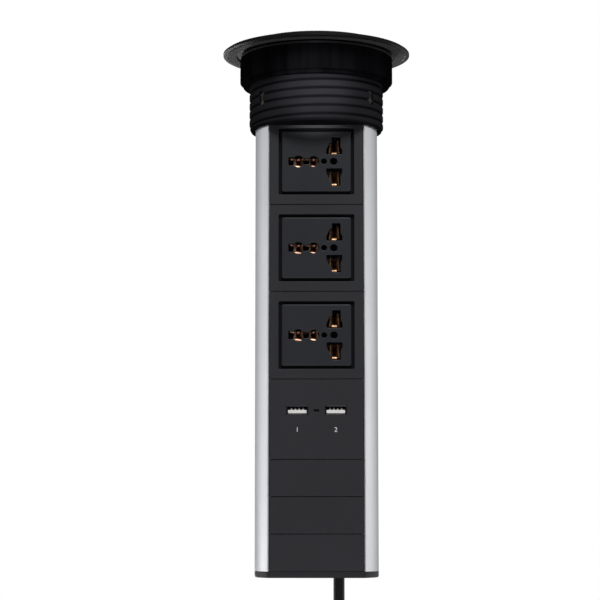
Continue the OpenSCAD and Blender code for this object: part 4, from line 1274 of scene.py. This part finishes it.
class DESKSOCKET_OT_sockets(PieceMaker, bpy.types.Operator):
    """Makes the socket panels and their inserts"""

    bl_idname = "desk_socket.sockets"
    bl_label = "Sockets"

    def execute(self, context):
        for number in SOCKETS:
            node, z = "socket_frame_%d" % number, socket_z(number)
            window = rectangle(size("window_width"), size("window_height"), 0.9, 0, z, 4)
            form = bmesh.new()
            panel_plate(form, node, [window])
            piece("socket_panel_%d" % number, form, "panel_plastic", [node], panel_abs())
            self.insert(number, z)
        return {"FINISHED"}

    def insert(self, number, z):
        """A socket's face with its pin holes, the box behind it and two screw posts."""
        node = "socket_insert_%d" % number
        front, back, behind = tower_front(), panel_back(), insert_back()
        wide, tall = size("window_width") - 2 * size("groove"), size("window_height") - 2 * size("groove")
        lap = size("groove") + FACE_LAP
        form = bmesh.new()
        loops = [rectangle(wide, tall, 1.2, 0, z, 5), *pin_holes(z)]
        outer = edge_rings(front, back, 0.55, 0.0, 4) + [(back, -lap), (behind, -lap)]
        # Side faces deeper than FACE_DEEP behind the front take the second finish, which is painted shade
        for side in prism(form, loops, edge_rings(front, behind, 0.3, 0.0), along_y, outer):
            side.material_index = int(side.calc_center_median().y > (front + FACE_DEEP) * MM)
        box_wide, box_tall = wide + 2 * BOX_GROWTH, tall + 2 * BOX_GROWTH
        walls = [rectangle(box_wide, box_tall, 0.6, 0, z, 3)]
        walls += [rectangle(box_wide - 2 * BOX_WALL, box_tall - 2 * BOX_WALL, 0.4, 0, z, 3)]
        straight(form, walls, behind - OVERLAP, bar_front(), along_y)
        for post_z in about(z, box_tall / 2 - BOX_WALL - POST_RADIUS + POST_SINK):
            post = [circle(radius, POST_X, post_z, 24) for radius in (POST_RADIUS, POST_BORE)]
            straight(form, post, behind - OVERLAP, node_box(node).high.y, along_y)
        # The second finish is painted shade for the recessed faces
        finishes = socket_polycarbonate(), recess_black()
        piece("socket_face_%d" % number, form, "insert_plastic", [node], *finishes)


# The contacts, in millimetres: the bars, their plates behind the pin holes, and the leaves that grip a pin

BAR_X = {"live": POLE_X + 7.8, "neutral": POLE_X - 7.2, "earth": EARTH_X}
BAR_HALF, BAR_THICK, POLE_PLATE, EARTH_PLATE = 1.5, 0.8, 4.6, (8.65, 4.3)
LEAF_NEAR, LEAF_FAR, LEAF_METAL, LEAF_ROOT, LEAF_START = 0.6, 1.1, 0.5, 0.3, 0.3
UPRIGHT_BEND, LEVEL_BEND, LEAF_TAPER, LEAF_WAVE = 2.7, 2.2, 0.035, 0.35
POLE_LEAF_HALF, EARTH_LEAF_HALF, EARTH_LEAF_BACK = 4.2, 2.7, 0.3
UPRIGHT_STEPS, LEVEL_STEPS = 8, 48
SILL_DROP, SILL_HALF = 2.4, 1.5
UPPER_WAVE, LOWER_WAVE, UPPER_BACK = 0.7, 1.2, 2.2


class DESKSOCKET_OT_contacts(PieceMaker, bpy.types.Operator):
    """Makes the brass and copper bars with their plates and spring leaves"""

    bl_idname = "desk_socket.contacts"
    bl_label = "Contacts"

    def execute(self, context):
        start = insert_back() + LEAF_START
        for pole, side in (("live", 1), ("neutral", -1)):
            form, deep = self.bar(pole)
            x = BAR_X[pole]
            for number in SOCKETS:
                z = socket_z(number) + side * POLE_Z
                wide = min(x, POLE_X - POLE_PLATE), max(x, POLE_X + POLE_PLATE)
                block(form, wide, deep, about(z, POLE_PLATE), 0.5)
                for hand in HANDS:
                    self.upright_leaf(form, POLE_X, z, hand, POLE_LEAF_HALF, start)
                self.level_leaf(form, POLE_X, z - SILL_DROP, -1, SILL_HALF, start)
            piece(pole + "_contacts", form, "contact_copper", [pole + "_bar"], contact_metal("brass"))
        form, deep = self.bar("earth")
        wide, tall = EARTH_PLATE
        for z in map(socket_z, SOCKETS):
            block(form, about(EARTH_X, wide), deep, about(z, tall), 0.5)
            for lobe in LOBES:
                for hand in HANDS:
                    self.upright_leaf(form, EARTH_X + lobe, z, hand, EARTH_LEAF_HALF, start + EARTH_LEAF_BACK)
            self.level_leaf(form, EARTH_X, z + UPPER_WAVE, 1, wide, start + UPPER_BACK, LEAF_WAVE)
            self.level_leaf(form, EARTH_X, z - LOWER_WAVE, -1, wide, start, LEAF_WAVE)
        piece("earth_contacts", form, "contact_copper", ["earth_bar"], contact_metal("copper"))
        return {"FINISHED"}

    def bar(self, name):
        """A new bmesh with a bar that runs down the sockets, and the bar's two ends along Y."""
        low, high, _, _ = node_box(name + "_bar")
        form, deep = bmesh.new(), (bar_front(), bar_front() + BAR_THICK)
        block(form, about(BAR_X[name], BAR_HALF), deep, (low.z, high.z), 0.3)
        return form, deep

    def leaf_section(self, bend, start, steps=8):
        """A leaf's outline (distance from the pin, depth): a lip that curls in from the front, and a root."""
        angles = [math.pi + math.pi / 2 * k / steps for k in range(steps + 1)]
        inner, outer = ([polar(r, a, bend, start + bend) for a in angles] for r in (bend, bend - LEAF_METAL))
        root = bar_front() + LEAF_ROOT
        return [(LEAF_NEAR, root)] + inner + outer[::-1] + [(LEAF_FAR, root)]

    def upright_leaf(self, form, x, z, side, tall, start):
        """A leaf that stands at the left or right of a pin, narrower at its top."""
        section = self.leaf_section(UPRIGHT_BEND, start)
        rows = []
        for k in range(UPRIGHT_STEPS + 1):
            narrow, height = 1 - LEAF_TAPER * k, z + tall * (2 * k / UPRIGHT_STEPS - 1)
            rows.append([(x + side * (LEAF_NEAR + r * narrow), y, height) for r, y in section])
        loft(form, rows)

    def level_leaf(self, form, x, z, side, wide, start, wave=0.0):
        """A leaf that lies above or below a pin, straight or wavy."""
        section = self.leaf_section(LEVEL_BEND, start)
        rows = []
        for k in range(LEVEL_STEPS + 1):
            along = wide * (2 * k / LEVEL_STEPS - 1)
            near = wave * math.cos(math.tau * along / (LOBES[1] - LOBES[0]))
            rows.append([(x + along, y, z + side * (near + r)) for r, y in section])
        loft(form, rows)


# The charger, in millimetres: its ports and lamp, the board's posts, the contact strips and the numerals

PORT_GAP, LAMP_GAP, PORT_WALL, PLATE_INSET, PLATE_DEEP = 0.2, 0.1, 0.4, 0.3, (0.6, 0.1)
BOARD_POST_X, BOARD_POST_Z, BOARD_POST_RADIUS, BOARD_POST_BORE = 19.5, 15.5, 2.6, 1.3
STRIP_PATH = ((0.0, 0.0), (0.8, 0.1), (1.8, 1.1), (3.0, 1.4), (4.6, 1.1), (6.5, 0.25), (8.0, 0.0))
STRIP_HALF, STRIP_THICK, STRIP_PITCH, STRIPS = 0.6, 0.3, 2.4, 4
NUMERAL_TALL, NUMERAL_THICK, NUMERAL_RAISED, NUMERAL_DROP = 4.2, 0.02, 0.01, 9.2


class DESKSOCKET_OT_charger(PieceMaker, bpy.types.Operator):
    """Makes the charger panel with its ports, tongues, lamp and numerals"""

    bl_idname = "desk_socket.charger"
    bl_label = "Charger"

    def execute(self, context):
        ports = [node_box("usb_shell_" + side) for side in SIDES]
        lamp, board = node_box("led_window"), node_box("usb_board")
        form = bmesh.new()
        holes = [self.opening(port, PORT_GAP, 0.7) for port in ports] + [self.opening(lamp, LAMP_GAP, 0.4, 3)]
        panel_plate(form, "usb_panel", holes)
        for x in about(0, BOARD_POST_X):
            for z in about(board.middle.z, BOARD_POST_Z):
                post = [circle(radius, x, z, 24) for radius in (BOARD_POST_RADIUS, BOARD_POST_BORE)]
                straight(form, post, panel_back() - OVERLAP, board.low.y, along_y)
        piece("charger_panel", form, "panel_plastic", ["usb_panel"], panel_abs())
        for number, side, port in zip((1, 2), SIDES, ports):
            self.port(side, port)
            self.numeral(number, port.middle.x, port.low.z - NUMERAL_DROP)
        self.boxed("lamp_window", lamp, 0.3, "lamp_plastic", "led_window", smoked_acrylic())
        self.strips()
        return {"FINISHED"}

    def opening(self, box, grow, radius, steps=4):
        """A rounded outline around a box, seen from the front."""
        wide, tall = box.span.x + 2 * grow, box.span.z + 2 * grow
        return rectangle(wide, tall, radius, box.middle.x, box.middle.z, steps)

    def boxed(self, name, box, radius, slot, node, finish):
        """A rounded block that fills a node's box."""
        form = bmesh.new()
        block(form, *zip(box.low, box.high), radius, 0.2)
        piece(name, form, slot, [node], finish)

    def port(self, side, box):
        low, high, _, _ = box
        form = bmesh.new()
        loops = [self.opening(box, 0.0, 0.7), self.opening(box, -PORT_WALL, 0.4)]
        prism(form, loops, edge_rings(low.y, high.y, 0.12, 0.0, 2), along_y)
        wide, tall = ((low[i] + PLATE_INSET, high[i] - PLATE_INSET) for i in (0, 2))
        block(form, wide, [high.y - inset for inset in PLATE_DEEP], tall, 0.3)
        piece("port_shell_" + side, form, "port_steel", ["usb_shell_" + side], dark_steel())
        node = "usb_tongue_" + side
        self.boxed("port_tongue_" + side, node_box(node), 0.25, "tongue_plastic", node, tongue_nylon())

    def strips(self):
        """Four contact strips lie on each tongue."""
        low, high, middle, _ = node_box("usb_contacts")
        path = [(low.y + u, v) for u, v in STRIP_PATH] + [(high.y, 0.0)]
        upper, under = ([(u, v + way * STRIP_THICK / 2, 0.6) for u, v in path] for way in (1, -1))
        pattern = bmesh.new()
        rims = edge_rings(-STRIP_HALF, STRIP_HALF, 0.08, 0.08, 2)
        prism(pattern, [fillet(upper + under[::-1], 3)], rims, along_x)
        places = []
        for side in SIDES:
            first = node_box("usb_tongue_" + side).middle.x - STRIP_PITCH * (STRIPS - 1) / 2
            places += [((first + STRIP_PITCH * k, 0, middle.z), (0, 0, 0)) for k in range(STRIPS)]
        copies("port_strips", pattern, places, "contact_copper", ["usb_contacts"], tinned_strip())

    def numeral(self, number, x, z):
        """A plain printed number under a port."""
        name = "printed_numeral_%d" % number
        text = bpy.data.curves.new("numeral", "FONT")
        text.body, text.size, text.extrude = str(number), NUMERAL_TALL * MM, NUMERAL_THICK * MM
        text.align_x, text.align_y = "CENTER", "CENTER"
        mesh = settled(new_object("numeral", text), name)
        spot = Matrix.Translation(along_y(x, z, tower_front() - NUMERAL_RAISED))
        mesh.transform(spot @ Matrix.Rotation(math.pi / 2, 4, "X"))
        mesh.materials.clear()
        # Printing ink: flat pale grey
        ink = plain("grey_print", "#c4c5c8", rough=0.6, drift=0.03, broad=2, fine=0.2, deep=0.001)
        mesh.materials.append(ink)
        seated(new_object(name, mesh))


# The end cap with its clamp saddle, and the gland, in millimetres

CAP_ROUND, CAP_CORNER, GLAND_HOLE = 1.0, 0.8, 5.25
HEAD_HOLE, HEAD_SLEEVE, SHANK_HOLE, HEAD_DEEP = 2.8, 2.82, 1.45, 1.5
CLAMP_HALF, CLAMP_FRONT, CLAMP_BACK, CLAMP_TALL, BEAM_DEEP, SADDLE_START = 10.0, 1.0, 12.9, 8.0, 4.6, 0.28
GLAND_NECK, GLAND_FLANGE, GLAND_STEP, GLAND_TIP, GLAND_TALL = 5.2, 8.0, 6.2, 4.6, 2.5


class DESKSOCKET_OT_end_cap(PieceMaker, bpy.types.Operator):
    """Makes the end cap and the gland that the cord leaves through"""

    bl_idname = "desk_socket.end_cap"
    bl_label = "End cap"

    def execute(self, context):
        low, high, _, _ = node_box("end_cap")
        top = node_box("tower_profile").low.z
        holes = [circle(GLAND_HOLE, CORD_X)] + [circle(HEAD_HOLE, *spot, 32) for spot in screw_spots()]
        form = bmesh.new()
        rims = edge_rings(low.z, top, 0.2, 0.0, 2)
        prism(form, [self.outline(), *holes], rims, along_z, edge_rings(low.z, top, CAP_ROUND, 0.0, 5))
        for spot in screw_spots():
            sleeve = [circle(radius, *spot, 32) for radius in (HEAD_SLEEVE, SHANK_HOLE)]
            straight(form, sleeve, low.z + HEAD_DEEP, top, along_z)
        beam = rectangle(2 * CLAMP_HALF, BEAM_DEEP, 0.6, CORD_X, CLAMP_BACK - BEAM_DEEP / 2, 3)
        straight(form, [beam], top - OVERLAP, high.z, along_z)
        straight(form, [self.saddle()], high.z - CLAMP_TALL, high.z, along_z)
        piece("foot_cap", form, "panel_plastic", ["end_cap"], cap_abs())
        self.gland(top)
        return {"FINISHED"}

    def outline(self):
        """The tower's outline with rounded corners."""
        radius, corner = size("tower_radius"), tower_corner()
        points = arc(radius, corner + 1.2, 360 - corner - 1.2, 200)
        sharp = around(corner, radius)
        tips = fillet([(0, tower_front(), 0), (*sharp, CAP_CORNER), (*points[0], 0)])[1:-1]
        return tips + points + mirrored(tips)

    def saddle(self):
        """The block that the cord is clamped into, with a round trough for it."""
        left, right = about(CORD_X, CLAMP_HALF)
        trough_left, trough_right = about(CORD_X, CORD_BORE)
        sweep = math.pi - 2 * SADDLE_START
        trough = [polar(CORD_BORE, math.pi - SADDLE_START - sweep * k / 16, CORD_X) for k in range(17)]
        before = [(left, CLAMP_FRONT), (trough_left, CLAMP_FRONT)]
        after = [(trough_right, CLAMP_FRONT), (right, CLAMP_FRONT), (right, CLAMP_BACK), (left, CLAMP_BACK)]
        return before + trough + after

    def gland(self, top):
        low, high, _, _ = node_box("cable_gland")
        step = top + GLAND_TALL
        corners = [(CORD_BORE, low.z, 0.3), (GLAND_NECK, low.z, 0.3), (GLAND_NECK, top, 0)]
        corners += [(GLAND_FLANGE, top, 0.3), (GLAND_FLANGE, step, 0.4), (GLAND_STEP, step, 0.4)]
        corners += [(GLAND_TIP, high.z, 0.4), (CORD_BORE, high.z, 0.2)]
        # Moulded rubber: dull black
        finish = plain("black_rubber", "#0e0e10", rough=0.55)
        outline, spots = fillet(corners, 4, 0.1), [(CORD_X, 0)]
        turned("gland_bush", outline, "gland_rubber", ["cable_gland"], finish, spots, 64)


# Screws, in millimetres: head radius, head height, shank radius and length below the head

FOOT_SCREW, STOP_BOLT, STOP_ANGLES = (2.6, 1.4, 1.25, 12.6), (3.0, 2.0, 1.9, 4.0), (155, -155)
# Shares of a head: the hexagon socket's radius, its floor's height, the top's rounding, the layers' overlap
HEXAGON, HEXAGON_FLOOR, HEAD_ROUND, HEAD_OVERLAP = 0.48, 0.35, 0.4, 0.01


class DESKSOCKET_OT_screws(PieceMaker, bpy.types.Operator):
    """Makes the screws that show: at the foot and on the back"""

    bl_idname = "desk_socket.screws"
    bl_label = "Screws"

    def execute(self, context):
        height = node_box("end_screws").low.z + FOOT_SCREW[1]
        places = [((*spot, height), (math.pi, 0, 0)) for spot in screw_spots()]
        copies("foot_screws", self.screw(*FOOT_SCREW), places, "screw_steel", ["end_screws"], plated_steel())
        height, radius = node_box("stop_screws").middle.z, size("tower_radius")
        places = [((*around(a, radius), height), (math.pi / 2, 0, math.radians(a))) for a in STOP_ANGLES]
        copies("stop_bolts", self.screw(*STOP_BOLT), places, "screw_steel", ["stop_screws"], plated_steel())
        return {"FINISHED"}

    def screw(self, head, tall, shank, deep):
        """A button-head screw along +Z, its head's underside at 0 and its shank below."""
        form = bmesh.new()
        side, hexagon = circle(head, count=40), circle(head * HEXAGON, count=6)
        floor, sunk = tall * HEXAGON_FLOOR, tall * (HEXAGON_FLOOR + HEAD_OVERLAP)
        prism(form, [side, hexagon], edge_rings(floor, tall, 0.0, tall * HEAD_ROUND, 4), along_z)
        prism(form, [side], edge_rings(0.0, sunk, 0.08, 0.0, 2), along_z)
        straight(form, [circle(shank, count=24)], -deep, 0.05, along_z)
        return form


# Inside the tower: a wire's ring in the cord, its radius, and how far it rises before and in its bend, in mm

WIRE_RING, WIRE_RADIUS, WIRE_STRAIGHT, WIRE_BEND, WIRE_STEPS = 1.6, 1.2, (0, 2, 4), 24.0, 12
WIRES = (
    ("live", 0, "#7b4a2b", "wire_brown"),
    ("neutral", 120, "#2d55a6", "wire_blue"),
    ("earth", 240, "#3f8b40", "wire_green"),
)
INSIDE = {
    # Moulded nylon: matt black
    "contact_carrier": ("carrier_nylon", "#141416", 0.6),
    # Varnished glass laminate: green, with a sheen
    "usb_board": ("glass_laminate", "#2b5a37", 0.35),
    # Wound polyester tape: yellow satin
    "charger_transformer": ("polyester_tape", "#d7b348", 0.4),
    # Shrunk plastic sleeve: dark blue, smooth
    "charger_capacitors": ("capacitor_sleeve", "#27324d", 0.35),
    # Moulded nylon: dark grey satin
    "cord_clamp": ("clamp_nylon", "#39393c", 0.5),
}


class DESKSOCKET_OT_inside(PieceMaker, bpy.types.Operator):
    """Makes the wires inside the tower, and finishes the other pieces there"""

    bl_idname = "desk_socket.inside"
    bl_label = "Inside"

    def execute(self, context):
        for name in ("lid_screws", "carrier_screws", "board_screws", "clamp_screws"):
            finish_node(name, plated_steel())
        for name, finish in INSIDE.items():
            finish_node(name, plain(*finish))
        low, high, _, span = node_box("cord_inner")
        form = bmesh.new()
        points = [Vector((CORD_X, 0, low.z + span.z * k / 8)) for k in range(9)]
        tube(form, points, size("cord_diameter") / 2, 32)
        piece("cord_end_inside", form, "cord_sheath", ["cord_inner"], cord_pvc())
        for name, angle, code, slot in WIRES:
            self.wire(name, angle, high.z, code, slot)
        return {"FINISHED"}

    def wire(self, name, angle, height, code, slot):
        """A wire from the cord's end to the foot of its bar."""
        start = Vector((*polar(WIRE_RING, math.radians(angle), CORD_X), height))
        bar = Vector((BAR_X[name], bar_front() + BAR_THICK / 2, height))
        foot, bent = node_box("live_bar").low.z, height + WIRE_STRAIGHT[-1] + WIRE_BEND
        points = [start + Vector((0, 0, rise)) for rise in WIRE_STRAIGHT]
        for k in range(1, WIRE_STEPS):
            share = k / WIRE_STEPS
            rise = WIRE_STRAIGHT[-1] + WIRE_BEND * share
            points.append(start.lerp(bar, ease(share)) + Vector((0, 0, rise)))
        points += [Vector((bar.x, bar.y, z)) for z in (bent, (bent + foot) / 2, foot)]
        form = bmesh.new()
        tube(form, points, WIRE_RADIUS)
        # Extruded PVC insulation: smooth, in the colour of its wire
        finish = plain(name + "_insulation", code, rough=0.4)
        piece(name + "_lead_inside", form, slot, [name + "_wire"], finish)


class DESKSOCKET_PT_pieces(bpy.types.Panel):
    """Lists the pieces, their sizes and their colours"""

    bl_idname = "DESKSOCKET_PT_pieces"
    bl_label = "Desk socket"
    bl_space_type = "VIEW_3D"
    bl_region_type = "UI"
    bl_category = "Desk Socket"

    def draw(self, context):
        for maker in MAKERS:
            self.layout.operator(maker.bl_idname)
        for group in (context.scene.desk_socket_sizes, context.scene.desk_socket_colours):
            for name in group.__annotations__:
                self.layout.prop(group, name)


MAKERS = (
    DESKSOCKET_OT_stage,
    DESKSOCKET_OT_cord,
    DESKSOCKET_OT_collar,
    DESKSOCKET_OT_ring_nut,
    DESKSOCKET_OT_tower,
    DESKSOCKET_OT_lid,
    DESKSOCKET_OT_panels,
    DESKSOCKET_OT_sockets,
    DESKSOCKET_OT_contacts,
    DESKSOCKET_OT_charger,
    DESKSOCKET_OT_end_cap,
    DESKSOCKET_OT_screws,
    DESKSOCKET_OT_inside,
)
GROUPS = {"desk_socket_sizes": DeskSocketSizes, "desk_socket_colours": DeskSocketColours}


def register():
    for kind in (*GROUPS.values(), *MAKERS, DESKSOCKET_PT_pieces):
        bpy.utils.register_class(kind)
    for name, group in GROUPS.items():
        setattr(bpy.types.Scene, name, PointerProperty(type=group))


def unregister():
    for name in GROUPS:
        delattr(bpy.types.Scene, name)
    for kind in reversed((*GROUPS.values(), *MAKERS, DESKSOCKET_PT_pieces)):
        bpy.utils.unregister_class(kind)


def main():
    register()
    for maker in MAKERS:
        group, name = maker.bl_idname.split(".")
        getattr(getattr(bpy.ops, group), name)()


if __name__ == "__main__":
    main()
